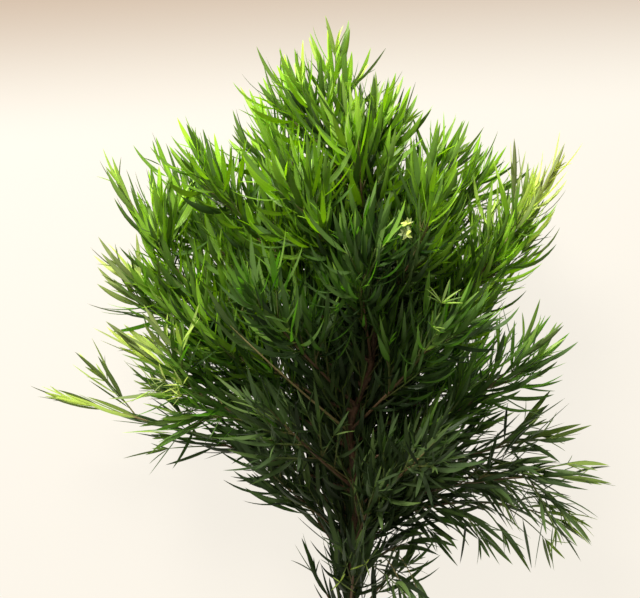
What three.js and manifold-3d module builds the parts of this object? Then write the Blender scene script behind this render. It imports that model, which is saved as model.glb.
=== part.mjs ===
// A cut stem of weeping podocarpus (fern pine), lying on a flat surface. Millimetres, +Z up.
//
// One woody stem lies along +Y, from its cut end to its tip, and forks all round into side branches.
// The wood is one solid. Each side branch goes on from its woody stub as one green solid: a leafy
// branch, whose twigs carry narrow pointed leaves in a spiral. The stem was cut from an upright plant,
// so its branches rise towards +Y. It lies on its cut end and on the leaves under it, and those leaves
// lie flat on the surface.
import * as THREE from 'three';
import { mergeVertices } from 'three/addons/utils/BufferGeometryUtils.js';
import Module from 'manifold-3d';

const wasm = await Module();
wasm.setup();
const { degToRad } = THREE.MathUtils;

// Leaves
const LEAF_LENGTH = 62; // the longest common leaf
const LEAF_HALF_WIDTH = 2.8;
const LEAF_KEEL = 1.4; // how far the midrib stands out of the underside where the leaf is widest
const LEAF_WIDEST = 0.34; // how far along the leaf that is
const LEAF_PITCH = 5.2; // from one leaf to the next along a twig
const LEAF_STRIDE = 4; // one leaf is built for every four on the real twig
const SPIRAL_TURN = degToRad(137.5); // round the twig from one leaf to the next
const TURN_PLAY = 0.7; // the whole range by which a leaf's turn, and then its spread, may stray
const SPREAD_PLAY = 0.3;
const SIZE_PLAY = [0.88, 1.12];
const ROOT_SPREAD = degToRad(42); // a leaf's angle to its twig, low on the twig
const TIP_SPREAD = degToRad(13); // and at the twig's end
const RISE = [0.12, 0.62]; // the least and the most by which a leaf's outer half bends towards +Y

// Wood and twigs
const STEM_CUT_RADIUS = 4.6;
const STEM_TOP_RADIUS = 1.7;
const STEM_SIDES = 6;
const STEM_STEPS = 12;
const STUB_RADIUS = 1.9; // the thickest woody stub
const STUB_OVER_STEM = 0.62; // a stub's radius over the stem's, where the stem is thin
const STUB_SIDES = 4;
const STUB_TAPER = 0.86; // a woody stub's end over its root
const WOOD_SHARE = 0.16; // how much of a side branch is brown wood
const SEAT_GAP = 0.3; // between a woody stub and the green branch that it carries
const TWIG_SIDES = 4;
const MAIN_TWIG_STEPS = 4;
const SIDE_TWIG_STEPS = 2;
const SIDE_TWIG_RADIUS = 1.15;
const TWIG_TIP_RADIUS = 0.8;
const BARE_SHARE = 0.06; // of each twig, before its first leaf
const LAST_LEAF = 0.985; // how far along a twig its last leaf is

// Side twigs leave their branch by turns to the left and to the right
const FORKS = [0.08, 0.86]; // the first and last places for them, over the branch's green length
const FORK_ANGLE = degToRad(34);
const FORK_PLAY = degToRad(16);
const FORK_TILT = degToRad(80); // the whole range out of the branch's plane
const FORK_LENGTH = 0.46; // a side twig's length over the rest of the branch, at least FORK_LEAST
const FORK_LEAST = 44;
const FORK_LENGTH_PLAY = [0.85, 1.15];
const FORK_TRIES = 8; // ways tried, until one is clear of all other branches
const FORK_FLOOR = 12; // the lowest that a side twig's end may be
const SIDE_BOW = 0.3; // a side twig's bow over its branch's
const SIDE_RISE = 0.4; // how far a side twig turns up towards +Y on an upright branch

// Where the seeds of the random draws start: ten for each branch
const LEAF_SEEDS = 1000;
const FORK_SEEDS = 6000;

// Gaps
const CLEARANCE = 0.35; // between the leaves of two branches
const OWN_CLEARANCE = 2.2; // between the outer leaves of one twig

// The stem's line, from the cut end to the last wood under the top shoot
const STEM_LINE = [
  [0, 0, 4], [1, 50, 4], [4, 115, 22], [6, 170, 42], [3, 215, 56], [0, 250, 63],
  [10, 285, 70], [22, 320, 78], [24, 365, 86], [17, 425, 93], [5, 490, 97], [-8, 548, 98],
];

// The side branches. from: how far along Y it leaves the stem. to: where its main twig ends.
// bow: how far the twig's middle lies back from a straight line, so that its end turns up;
// less than 0 arches it over. sides: how many side twigs it has. lift: how far its side twigs and its
// leaves turn up towards +Y, over those of an upright branch; less than 0 turns them down.
const BRANCHES = [
  { name: 'right_drooping', from: 138, to: [214, 158, 50], bow: -52, sides: 3, lift: -0.7 },
  { name: 'right_low', from: 160, to: [226, 206, 92], bow: -26, sides: 3, lift: -0.4 },
  { name: 'right_mid', from: 196, to: [194, 244, 56], bow: 4, sides: 3, lift: -0.2 },
  { name: 'right_reaching', from: 214, to: [174, 332, 122], bow: 28, sides: 3, lift: 0.9 },
  { name: 'right_inner', from: 236, to: [112, 306, 34], bow: 8, sides: 2, lift: 0.6 },
  { name: 'right_high', from: 262, to: [176, 474, 100], bow: 34, sides: 2, lift: 1 },
  { name: 'right_crown', from: 300, to: [198, 508, 132], bow: 42, sides: 3, lift: 1.2 },
  { name: 'right_upper', from: 340, to: [122, 512, 76], bow: 22, sides: 3, lift: 0.7 },
  { name: 'right_top', from: 392, to: [80, 520, 118], bow: 18, sides: 2, lift: 0.9 },
  { name: 'left_reaching', from: 186, to: [-280, 282, 78], bow: -10, sides: 1, lift: 0.1 },
  { name: 'left_low', from: 150, to: [-102, 262, 40], bow: 8, sides: 1, lift: 0.4 },
  { name: 'left_mid', from: 206, to: [-212, 334, 110], bow: 16, sides: 3, lift: 0 },
  { name: 'left_fan', from: 232, to: [-228, 414, 84], bow: 26, sides: 3, lift: 0.7 },
  { name: 'left_inner', from: 250, to: [-120, 352, 32], bow: 10, sides: 2, lift: 0.6 },
  { name: 'left_high', from: 270, to: [-230, 498, 92], bow: 80, sides: 4, lift: 1.1 },
  { name: 'left_crown', from: 296, to: [-192, 520, 56], bow: 50, sides: 2, lift: 1.1 },
  { name: 'left_upper', from: 320, to: [-148, 528, 128], bow: 34, sides: 3, lift: 1 },
  { name: 'left_top', from: 366, to: [-84, 556, 100], bow: 20, sides: 2, lift: 1.1 },
  { name: 'front_low_right', from: 170, to: [80, 246, 150], bow: 12, sides: 2, lift: 0.3 },
  { name: 'front_low_left', from: 190, to: [-80, 280, 158], bow: 6, sides: 2, lift: 0.3 },
  { name: 'front_mid_right', from: 250, to: [100, 372, 184], bow: 10, sides: 2, lift: 1 },
  { name: 'front_mid_left', from: 276, to: [-96, 392, 188], bow: 10, sides: 2, lift: 1 },
  { name: 'front_middle', from: 320, to: [4, 436, 200], bow: 12, sides: 2, lift: 1 },
  { name: 'front_right', from: 360, to: [84, 478, 180], bow: 12, sides: 2, lift: 1 },
  { name: 'front_left', from: 380, to: [-62, 496, 176], bow: 12, sides: 2, lift: 1 },
  { name: 'front_top', from: 428, to: [6, 546, 160], bow: 14, sides: 2, lift: 0.9 },
  { name: 'under_right', from: 240, to: [60, 366, 22], bow: 8, sides: 2, lift: 1 },
  { name: 'under_left', from: 262, to: [-60, 378, 22], bow: 8, sides: 2, lift: 1 },
  { name: 'under_middle', from: 226, to: [-10, 384, 26], bow: 4, sides: 2, lift: 1 },
  { name: 'under_low_right', from: 158, to: [52, 268, 22], bow: 6, sides: 2, lift: 1 },
  { name: 'under_low_left', from: 146, to: [-50, 280, 22], bow: 6, sides: 2, lift: 1 },
  { name: 'under_top_right', from: 350, to: [66, 486, 24], bow: 12, sides: 1, lift: 1 },
  { name: 'under_top_left', from: 372, to: [-60, 494, 24], bow: 12, sides: 1, lift: 1 },
  { name: 'top_right', from: 462, to: [24, 562, 118], bow: 8, sides: 1, lift: 0.9 },
  { name: 'top_left', from: 480, to: [-52, 586, 110], bow: 8, sides: 1, lift: 1.1 },
  { name: 'low_right', from: 142, to: [98, 220, 34], bow: 14, sides: 2, lift: 0.5 },
  { name: 'low_left', from: 132, to: [-98, 222, 72], bow: 2, sides: 2, lift: 0.5 },
  { name: 'neck_hanging', from: 94, to: [58, 134, 52], bow: -8, sides: 0, lift: -1 },
  { name: 'neck_left', from: 100, to: [-50, 180, 26], bow: 0, sides: 1, lift: 0.4 },
  { name: 'neck_right', from: 112, to: [52, 174, 72], bow: 4, sides: 1, lift: 1.3 },
  { name: 'neck_front', from: 126, to: [24, 192, 100], bow: 4, sides: 1, lift: 0.9 },
  { name: 'neck_low_left', from: 30, to: [-34, 98, 28], bow: 0, sides: 0, lift: 0.8 },
  { name: 'neck_low_right', from: 36, to: [48, 104, 26], bow: -4, sides: 0, lift: 1 },
  { name: 'neck_low_front', from: 60, to: [6, 130, 74], bow: 2, sides: 0, lift: 1 },
  { name: 'top_shoot', from: 548, to: [-8, 584, 98], bow: 0, sides: 1, lift: 0.9 },
];

// Numbers in a fixed order that look random, the same on every run
function seededDraw(seed) {
  let state = seed;
  return () => {
    state = (state + 0x6d2b79f5) | 0;
    let mixed = Math.imul(state ^ (state >>> 15), 1 | state);
    mixed = (mixed + Math.imul(mixed ^ (mixed >>> 7), 61 | mixed)) ^ mixed;
    return ((mixed ^ (mixed >>> 14)) >>> 0) / 4294967296;
  };
}

const point = ([x, y, z]) => new THREE.Vector3(x, y, z);
const blend = ([low, high], share) => low + (high - low) * share;
const UP = point([0, 0, 1]);

// A closed three.js geometry as a solid
function solidFrom(geometry) {
  geometry.deleteAttribute('normal');
  geometry.deleteAttribute('uv');
  const merged = mergeVertices(geometry, 1e-4);
  return new wasm.Manifold(new wasm.Mesh({
    numProp: 3,
    vertProperties: merged.getAttribute('position').array,
    triVerts: new Uint32Array(merged.index.array),
  }));
}

// A solid as a named mesh
function meshFrom(name, solid, material) {
  const { vertProperties, triVerts } = solid.getMesh();
  const geometry = new THREE.BufferGeometry();
  geometry.setAttribute('position', new THREE.BufferAttribute(vertProperties, 3));
  geometry.setIndex(new THREE.BufferAttribute(triVerts, 1));
  const mesh = new THREE.Mesh(geometry, material);
  mesh.name = name;
  return mesh;
}

// Bends a unit rod or blade, one unit high along Y, along a line. sizeAt(t) gives the half width and
// the half depth there, up is the side that its first corner faces, and lift moves the section that way.
// Nothing goes under the surface that the stem lies on.
function bendAlong(geometry, line, sizeAt, up, lift = 0) {
  const places = geometry.getAttribute('position');
  for (let i = 0; i < places.count; i++) {
    const t = places.getY(i) + 0.5;
    const radius = Math.hypot(places.getX(i), places.getZ(i)) || 1;
    const [halfWidth, halfDepth] = sizeAt(t);
    const along = line.tangent(t);
    const across = along.clone().cross(up).normalize();
    const face = across.clone().cross(along);
    const place = line.at(t)
      .addScaledVector(across, (places.getX(i) / radius) * halfWidth)
      .addScaledVector(face, (places.getZ(i) / radius + lift) * halfDepth);
    places.setXYZ(i, place.x, place.y, Math.max(place.z, 0));
  }
  return solidFrom(geometry);
}

// Part of a curve as straight steps, so that what grows from a faceted twig is rooted on its middle
function facetedLine(curve, start, end, steps) {
  const share = (t) => start + (end - start) * t;
  return {
    at: (t) => {
      const step = Math.min(steps - 1, Math.floor(t * steps));
      const from = curve.getPoint(share(step / steps));
      return from.lerp(curve.getPoint(share((step + 1) / steps)), t * steps - step);
    },
    tangent: (t) => curve.getTangent(share(t)),
  };
}

// A tapered twig or stem
function taperedRod(line, rootRadius, tipRadius, sides, steps) {
  const rod = new THREE.CylinderGeometry(1, 1, 1, sides, steps, false, Math.PI / sides);
  return bendAlong(rod, line, (t) => Array(2).fill(blend([rootRadius, tipRadius], t)), UP);
}

const stemCurve = new THREE.CatmullRomCurve3(STEM_LINE.map(point), false, 'catmullrom', 0.5);
const stemRadiusAt = (t) => blend([STEM_CUT_RADIUS, STEM_TOP_RADIUS], t);

// Where along the stem's curve its Y reaches a given value
function stemShareAt(y) {
  let [low, high] = [0, 1];
  for (let i = 0; i < 40; i++) {
    const middle = (low + high) / 2;
    [low, high] = stemCurve.getPoint(middle).y < y ? [middle, high] : [low, middle];
  }
  return low;
}

// A branch's or side twig's curve: straight from root to end, with its middle moved back by bow
function twigCurve(root, end, bow) {
  const middle = root.clone().add(end).multiplyScalar(0.5);
  middle.y -= bow;
  return new THREE.QuadraticBezierCurve3(root, middle, end);
}

// What has to stay clear of each other, as short round bars
const bars = [];
function barsAlong(line, radius, steps, branch) {
  return Array.from({ length: steps }, (_, i) => (
    { from: line.at(i / steps), to: line.at((i + 1) / steps), radius, branch }
  ));
}

// The least distance between two straight bars
function barDistance(one, other) {
  const u = one.to.clone().sub(one.from);
  const v = other.to.clone().sub(other.from);
  const w = one.from.clone().sub(other.from);
  const [a, b, c, d, e] = [u.dot(u), u.dot(v), v.dot(v), u.dot(w), v.dot(w)];
  const clamp = (x) => Math.min(1, Math.max(0, x));
  const first = clamp((b * e - c * d) / Math.max(a * c - b * b, 1e-9));
  const t = clamp((b * first + e) / c);
  const s = clamp((b * t - d) / a);
  return w.addScaledVector(u, s).addScaledVector(v, -t).length();
}

// The twigs of a branch. The main twig goes on from the woody stub, and side twigs leave it.
function mainTwig(branch) {
  const seat = WOOD_SHARE + SEAT_GAP / branch.curve.getLength();
  return {
    branch,
    line: facetedLine(branch.curve, seat, 1, MAIN_TWIG_STEPS),
    steps: MAIN_TWIG_STEPS,
    radius: branch.radius * STUB_TAPER,
    seed: LEAF_SEEDS + branch.index * 10,
  };
}

function sideTwig(branch, k) {
  const main = branch.twigs[0];
  const at = blend(FORKS, (k + 0.5) / branch.sides);
  const root = main.line.at(at);
  const along = main.line.tangent(at);
  const place = branch.index * 10 + k + 1;
  const draw = seededDraw(FORK_SEEDS + place);
  for (let attempt = 0; attempt < FORK_TRIES; attempt++) {
    const angle = FORK_ANGLE + (draw() - 0.5) * FORK_PLAY;
    const tilt = (draw() - 0.5) * FORK_TILT;
    const rest = root.distanceTo(main.line.at(1));
    const length = Math.max(FORK_LEAST, rest * FORK_LENGTH) * blend(FORK_LENGTH_PLAY, draw());
    const side = along.clone().cross(UP).normalize().multiplyScalar((k + branch.index) % 2 ? 1 : -1);
    const out = side.multiplyScalar(Math.cos(tilt)).addScaledVector(UP, Math.sin(tilt));
    const way = along.clone().multiplyScalar(Math.cos(angle)).addScaledVector(out, Math.sin(angle));
    way.y += SIDE_RISE * branch.lift;
    const end = root.clone().addScaledVector(way.normalize(), length);
    end.z = Math.max(end.z, FORK_FLOOR);
    const line = facetedLine(twigCurve(root, end, branch.bow * SIDE_BOW), 0, 1, SIDE_TWIG_STEPS);
    const own = barsAlong(line, SIDE_TWIG_RADIUS, SIDE_TWIG_STEPS, branch);
    if (own.every((bar) => isClear(bar))) {
      return { branch, line, steps: SIDE_TWIG_STEPS, radius: SIDE_TWIG_RADIUS, seed: LEAF_SEEDS + place };
    }
  }
  return null;
}

// True where a bar is clear of the wood and of all other branches, and a leaf's outer half of the
// others on its own branch
function isClear(bar) {
  return bars.every((other) => {
    if (other.branch === bar.branch && !(other.outer && bar.outer)) return true;
    const sameTwig = bar.twig && other.twig === bar.twig;
    const least = sameTwig ? OWN_CLEARANCE : other.radius + bar.radius + CLEARANCE;
    return barDistance(bar, other) >= least;
  });
}

// A leaf's size along its twig: the middle leaves are the longest
const sizeShare = (s) => 0.72 + 0.28 * Math.sin(Math.PI * (0.15 + 0.75 * s));

// A twig's leaves, one for each place on its spiral. Each is a curve with its own size and way up.
function leavesOn(twig) {
  const draw = seededDraw(twig.seed);
  const { line } = twig;
  const length = line.at(0).distanceTo(line.at(0.5)) + line.at(0.5).distanceTo(line.at(1));
  const count = Math.floor((length * (1 - BARE_SHARE)) / LEAF_PITCH);
  return Array.from({ length: count }, (_, i) => {
    const s = (i + 0.5) / count;
    const [turnDraw, spreadDraw, lengthDraw, bendDraw] = [draw(), draw(), draw(), draw()];
    const t = blend([BARE_SHARE, LAST_LEAF], s);
    const along = line.tangent(t);
    const side = along.clone().cross(UP).normalize();
    const top = side.clone().cross(along);
    const turn = i * SPIRAL_TURN + (turnDraw - 0.5) * TURN_PLAY;
    const out = side.multiplyScalar(Math.cos(turn)).addScaledVector(top, Math.sin(turn));
    const spread = blend([ROOT_SPREAD, TIP_SPREAD], s) + (spreadDraw - 0.5) * SPREAD_PLAY;
    const size = LEAF_LENGTH * sizeShare(s) * blend(SIZE_PLAY, lengthDraw);
    const way = along.clone().multiplyScalar(Math.cos(spread)).addScaledVector(out, Math.sin(spread));
    const bend = blend(RISE, bendDraw) * twig.branch.lift;
    const bentWay = way.clone().add(point([0, bend, 0])).normalize();
    const root = line.at(t);
    const middle = root.clone().addScaledVector(way, size * 0.5);
    const tip = middle.clone().addScaledVector(bentWay, size * 0.5);
    const keel = out.multiplyScalar(Math.cos(spread)).addScaledVector(along, -Math.sin(spread));
    return { curve: new THREE.QuadraticBezierCurve3(root, middle, tip), keel };
  });
}

// A leaf's line in two straight halves, kept on or above the surface. A leaf that would pass under
// the surface lies flat on it instead, keel up.
function restingLeaf(leaf) {
  const across = leaf.curve.getTangent(LEAF_WIDEST).cross(leaf.keel).normalize();
  const low = leaf.curve.getPoint(LEAF_WIDEST).z - Math.abs(across.z) * LEAF_HALF_WIDTH;
  const lowest = Math.min(low - LEAF_KEEL * Math.max(0, -leaf.keel.z), leaf.curve.getPoint(1).z);
  const line = {
    at: (t) => {
      const place = leaf.curve.getPoint(leafPlace(t));
      place.z = Math.max(place.z, 0);
      return place;
    },
    tangent: (t) => leaf.curve.getTangent(leafPlace(t)),
  };
  return { line, keel: lowest < 0 ? UP : leaf.keel };
}

// The unit blade has its root, widest ring and tip at 0, 0.5 and 1: these as shares of the leaf
const leafPlace = (t) => (t < 0.5 ? blend([0, LEAF_WIDEST], t * 2) : blend([LEAF_WIDEST, 1], t * 2 - 1));

// A leaf as two straight bars, with its greatest half width
const leafBars = ({ line }, twig) => barsAlong(line, LEAF_HALF_WIDTH, 2, twig.branch)
  .map((bar, i) => ({ ...bar, twig, outer: i > 0 }));

// A leaf is a three-sided blade, pointed at both ends: flat above, with a keel below
function leafSolid({ line, keel }) {
  const blade = new THREE.SphereGeometry(0.5, 3, 2, Math.PI / 2);
  const width = LEAF_HALF_WIDTH / Math.sin(degToRad(120));
  return bendAlong(blade, line, (t) => (t === 0.5 ? [width, LEAF_KEEL / 1.5] : [0, 0]), keel, 0.5);
}

// The leaves that are built on a twig: in every group of neighbours, from the tip down, the first
// that is clear of all that is built
function builtLeaves(twig) {
  const solids = [];
  const leaves = leavesOn(twig).reverse();
  for (let first = 0; first < leaves.length; first += LEAF_STRIDE) {
    const group = leaves.slice(first, first + LEAF_STRIDE).map(restingLeaf);
    const chosen = group.find((leaf) => leafBars(leaf, twig).every((bar) => isClear(bar)));
    if (chosen) {
      solids.push(leafSolid(chosen));
      bars.push(...leafBars(chosen, twig));
    }
  }
  return solids;
}

// Greens, brighter towards the top of the stem, by the Y of a branch's end
const TOP_GREEN_FROM = 470;
const MIDDLE_GREEN_FROM = 300;
const bark = new THREE.MeshStandardMaterial({ color: 0x6a4a30, roughness: 0.85, metalness: 0 });
const leafGreens = {
  top: new THREE.MeshStandardMaterial({ color: 0x5f9c22, roughness: 0.5, metalness: 0 }),
  middle: new THREE.MeshStandardMaterial({ color: 0x35731f, roughness: 0.5, metalness: 0 }),
  low: new THREE.MeshStandardMaterial({ color: 0x274d1e, roughness: 0.5, metalness: 0 }),
};

function greenOf({ to: [, endY] }) {
  if (endY > TOP_GREEN_FROM) return leafGreens.top;
  return endY > MIDDLE_GREEN_FROM ? leafGreens.middle : leafGreens.low;
}

const branches = BRANCHES.map((plan, index) => {
  const t = stemShareAt(plan.from);
  const curve = twigCurve(stemCurve.getPoint(t), point(plan.to), plan.bow);
  return { ...plan, index, curve, radius: Math.min(STUB_RADIUS, stemRadiusAt(t) * STUB_OVER_STEM) };
});

// The wood: the stem and the first part of every side branch
const stemLine = facetedLine(stemCurve, 0, 1, STEM_STEPS);
const wood = [taperedRod(stemLine, STEM_CUT_RADIUS, STEM_TOP_RADIUS, STEM_SIDES, STEM_STEPS)];
bars.push(...barsAlong(stemLine, STEM_CUT_RADIUS, STEM_STEPS));
for (const { curve, radius } of branches) {
  const line = facetedLine(curve, 0, WOOD_SHARE, 1);
  wood.push(taperedRod(line, radius, radius * STUB_TAPER, STUB_SIDES, 1));
  bars.push(...barsAlong(line, radius, 1));
}
const stem = new THREE.Group();
stem.name = 'podocarpus_stem';
stem.add(meshFrom('woody_stem', wasm.Manifold.union(wood), bark));

// The twigs of every branch, main twigs first
for (const branch of branches) {
  branch.twigs = [mainTwig(branch)];
  bars.push(...barsAlong(branch.twigs[0].line, branch.twigs[0].radius, MAIN_TWIG_STEPS, branch));
}
for (const branch of branches) {
  for (let k = 0; k < branch.sides; k++) {
    const twig = sideTwig(branch, k);
    if (twig) {
      branch.twigs.push(twig);
      bars.push(...barsAlong(twig.line, twig.radius, twig.steps, branch));
    }
  }
}

// The leafy branches
for (const branch of branches) {
  const solids = branch.twigs.flatMap((twig) => (
    [taperedRod(twig.line, twig.radius, TWIG_TIP_RADIUS, TWIG_SIDES, twig.steps), ...builtLeaves(twig)]
  ));
  stem.add(meshFrom(`leafy_branch_${branch.name}`, wasm.Manifold.union(solids), greenOf(branch)));
}

// The origin is under the middle of the whole stem, on the surface that it lies on
const box = new THREE.Box3().setFromObject(stem);
const middle = box.getCenter(new THREE.Vector3());
stem.position.set(-middle.x, -middle.y, -box.min.z);

export default stem;
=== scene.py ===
# %% [markdown]
# # A cut stem of weeping podocarpus
#
# Weeping podocarpus, also called fern pine, is an evergreen with thin branches and narrow pointed
# leaves. This lesson dresses one cut stem of it, which lies on a pale floor. The solids in the frame
# already say where the stem, its branches and some of its leaves are. The steps below give it all its
# leaves, its real leaf shape, its bark and its light.
#
# Every piece is placed in metres, in the frame's own axes. The stem lies along +Y, with its cut end
# at the bottom of the picture, and +Z is up from the floor.

# %% Load the frame
import math
from dataclasses import dataclass, field

import bmesh
import bpy
import numpy as np
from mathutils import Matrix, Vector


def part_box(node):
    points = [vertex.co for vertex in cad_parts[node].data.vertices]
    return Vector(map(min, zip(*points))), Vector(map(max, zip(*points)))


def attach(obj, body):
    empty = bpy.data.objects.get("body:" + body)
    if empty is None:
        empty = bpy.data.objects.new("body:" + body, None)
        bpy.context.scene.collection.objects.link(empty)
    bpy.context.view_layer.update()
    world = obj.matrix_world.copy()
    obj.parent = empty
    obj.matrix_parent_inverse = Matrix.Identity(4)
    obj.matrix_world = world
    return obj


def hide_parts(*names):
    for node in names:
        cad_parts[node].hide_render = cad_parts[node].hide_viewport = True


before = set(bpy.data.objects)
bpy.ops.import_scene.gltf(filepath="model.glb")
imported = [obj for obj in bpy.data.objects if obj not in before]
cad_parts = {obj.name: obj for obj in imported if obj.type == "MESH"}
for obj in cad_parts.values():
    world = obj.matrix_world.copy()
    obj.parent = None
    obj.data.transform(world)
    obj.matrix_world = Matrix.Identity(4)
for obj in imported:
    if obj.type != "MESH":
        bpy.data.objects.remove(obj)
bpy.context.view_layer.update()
bpy.ops.object.select_all(action="DESELECT")
print("The frame holds", len(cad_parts), "solids")

# %% [markdown]
# ## The plant's own measures
#
# The plant is measured here in millimetres from the floor under its cut end. The cut end of the woody
# stem in the frame tells where that is, so that one shift takes every point into the frame.

# %% The plant's origin
MM = 0.001
CUT_HEIGHT = 4  # of the cut end's middle over the floor

cut_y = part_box("woody_stem")[0].y
cut_ring = [v.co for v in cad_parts["woody_stem"].data.vertices if v.co.y < cut_y + MM]
cut_middle = np.array([(max(axis) + min(axis)) / 2 for axis in zip(*cut_ring)])
ORIGIN = cut_middle / MM - (0, 0, CUT_HEIGHT)


def in_frame(points):
    """Points in the plant's millimetres, as metres in the frame."""
    return (np.asarray(points) + ORIGIN) * MM


print("The plant's origin is at", np.round(ORIGIN, 2), "mm in the frame")

# %% [markdown]
# ## Camera, floor and light
#
# The camera comes first, so that every later step can be looked at. It hangs straight above the stem
# and looks down, with a long lens, as the photograph looks at the plant from some way off. The floor
# is plain and pale. It glows, so that hardly a shadow shows on it and it lights the plant from behind
# as a bright wall would. Its colour has painted shade towards the top of the picture, where it darkens
# to a tan as a backdrop falling off into shade would, and it turns pale again outside the picture.
#
# The plant is lit from beyond its top. That light goes through the upper leaves and makes them glow,
# and it leaves the low middle of the stem dark, because the leaves above take it all.

# %% Camera
PICTURE_WIDTH = 0.640  # how much of the plant's width the picture takes in, at the stem's height
PICTURE_MIDDLE = (-30, 384, 90)  # on the plant, in its own millimetres
SENSOR_WIDTH = 36
LENS = 90
VIEW_DISTANCE = PICTURE_WIDTH * LENS / SENSOR_WIDTH  # in metres, from the picture's middle

camera_data = bpy.data.cameras.new("camera")
camera_data.sensor_width = SENSOR_WIDTH
camera_data.lens = LENS
camera = bpy.data.objects.new("camera", camera_data)
camera.location = in_frame(PICTURE_MIDDLE) + (0, 0, VIEW_DISTANCE)
bpy.context.scene.collection.objects.link(camera)
bpy.context.scene.camera = camera
bpy.context.scene.view_settings.view_transform = "Standard"
print("The camera hangs", round(camera.location.z, 3), "m over the floor")


# %% Helpers for materials
def new_material(name):
    """An empty material's nodes, links and output."""
    material = bpy.data.materials.new(name)
    material.use_nodes = True
    nodes = material.node_tree.nodes
    nodes.clear()
    return material, nodes, material.node_tree.links, nodes.new("ShaderNodeOutputMaterial")


def math_node(tree, operation, first, second=None):
    """A Math node's result. An operand is a number or the output of another node."""
    node = tree.nodes.new("ShaderNodeMath")
    node.operation = operation
    for socket, value in zip(node.inputs, (first, second)):
        if isinstance(value, bpy.types.NodeSocket):
            tree.links.new(value, socket)
        elif value is not None:
            socket.default_value = value
    return node.outputs[0]


def range_node(tree, value, low, high, to_low=0.0, to_high=1.0):
    """A smooth step of value: to_low at low and under it, to_high at high and over it."""
    node = tree.nodes.new("ShaderNodeMapRange")
    node.interpolation_type = "SMOOTHSTEP"
    tree.links.new(value, node.inputs["Value"])
    for name, number in (("From Min", low), ("From Max", high), ("To Min", to_low), ("To Max", to_high)):
        node.inputs[name].default_value = number
    return node.outputs["Result"]


def mix_colour(tree, share, first, second, blend="MIX"):
    """A Mix node between two colours. A colour is a value or the output of another node."""
    node = tree.nodes.new("ShaderNodeMix")
    node.data_type = "RGBA"
    node.blend_type = blend
    colours = [socket for socket in node.inputs if socket.type == "RGBA"]
    factor = node.inputs["Factor"]
    for socket, value in zip((factor, *colours), (share, first, second)):
        if isinstance(value, bpy.types.NodeSocket):
            tree.links.new(value, socket)
        else:
            socket.default_value = value
    return next(socket for socket in node.outputs if socket.type == "RGBA")


def noise_node(tree, vector, scale, detail, roughness):
    """Noise from 0 to 1 over vector."""
    node = tree.nodes.new("ShaderNodeTexNoise")
    tree.links.new(vector, node.inputs["Vector"])
    node.inputs["Scale"].default_value = scale
    node.inputs["Detail"].default_value = detail
    node.inputs["Roughness"].default_value = roughness
    return node.outputs["Fac"]


def scaled(tree, vector, scale):
    """A vector multiplied axis by axis."""
    node = tree.nodes.new("ShaderNodeVectorMath")
    node.operation = "MULTIPLY"
    tree.links.new(vector, node.inputs[0])
    node.inputs[1].default_value = scale
    return node.outputs[0]


def bump_of(tree, height, distance, strength):
    """The normal of a surface with a height on it, in millimetres for distance."""
    bump = tree.nodes.new("ShaderNodeBump")
    bump.inputs["Strength"].default_value = strength
    bump.inputs["Distance"].default_value = distance * MM
    tree.links.new(height, bump.inputs["Height"])
    return bump.outputs["Normal"]


def object_place(tree):
    return tree.nodes.new("ShaderNodeTexCoord").outputs["Object"]


def srgb(red, green, blue):
    """A colour picked as 0 to 255, as the linear values that a shader takes."""
    parts = [part / 255 for part in (red, green, blue)]
    return (*[p / 12.92 if p <= 0.04045 else ((p + 0.055) / 1.055) ** 2.4 for p in parts], 1.0)


print("A middle grey of 128 is", round(srgb(128, 128, 128)[0], 3), "as a shader takes it")

# %% Floor
FLOOR_SIZE = 30.0
FLOOR_NEAR = srgb(252, 246, 235)
# the tan of the painted shade that the floor darkens to towards the top of the picture
FLOOR_SHADE_COLOUR = srgb(197, 175, 154)
FLOOR_SHADE_FADE = in_frame([(0, 558, 0), (0, 768, 0)])[:, 1]  # where painted shade darkens the near colour to the tan one, along Y
FLOOR_SHADE_BACK = in_frame([(0, 780, 0), (0, 1450, 0)])[:, 1]  # and where that painted shade fades back to the near colour, outside the picture
FLOOR_SLANT = -0.06  # how far the fade moves along Y over its X
FLOOR_GLOW = 0.90  # the share of the floor's brightness that no shadow reaches


def floor_material():
    material, nodes, links, output = new_material("pale_floor")
    tree = material.node_tree
    split = nodes.new("ShaderNodeSeparateXYZ")
    links.new(object_place(tree), split.inputs[0])
    slanted = math_node(tree, "MULTIPLY", split.outputs["X"], FLOOR_SLANT)
    along = math_node(tree, "ADD", split.outputs["Y"], slanted)
    # painted shade: along Y the floor darkens from its near colour to a tan, and pales again further on
    band = math_node(tree, "MULTIPLY", range_node(tree, along, *FLOOR_SHADE_FADE),
                     range_node(tree, along, *FLOOR_SHADE_BACK, 1.0, 0.0))
    colour = mix_colour(tree, band, FLOOR_NEAR, FLOOR_SHADE_COLOUR)
    matte = nodes.new("ShaderNodeBsdfDiffuse")
    links.new(colour, matte.inputs["Color"])
    glow = nodes.new("ShaderNodeEmission")
    links.new(colour, glow.inputs["Color"])
    mix = nodes.new("ShaderNodeMixShader")
    mix.inputs[0].default_value = FLOOR_GLOW
    links.new(matte.outputs[0], mix.inputs[1])
    links.new(glow.outputs[0], mix.inputs[2])
    links.new(mix.outputs[0], output.inputs["Surface"])
    return material


bpy.ops.mesh.primitive_plane_add(size=FLOOR_SIZE)
floor = bpy.context.object
floor.name = "floor"
floor.data.materials.append(floor_material())
print("The floor is", FLOOR_SIZE, "m wide")

# %% Lights
WORLD_COLOUR = srgb(255, 248, 236)
WORLD_FILL = 0.30  # the room's brightness as a light
WORLD_SEEN = 0.95  # and as the camera sees it past the floor's edge
KEY_PLACE = (-0.50, 1.22, 0.95)
KEY_AIM = (0.0, 0.10, 0.10)
KEY_SIZE = 0.7
KEY_POWER = 51
KEY_COLOUR = (1.0, 0.97, 0.90)

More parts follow.
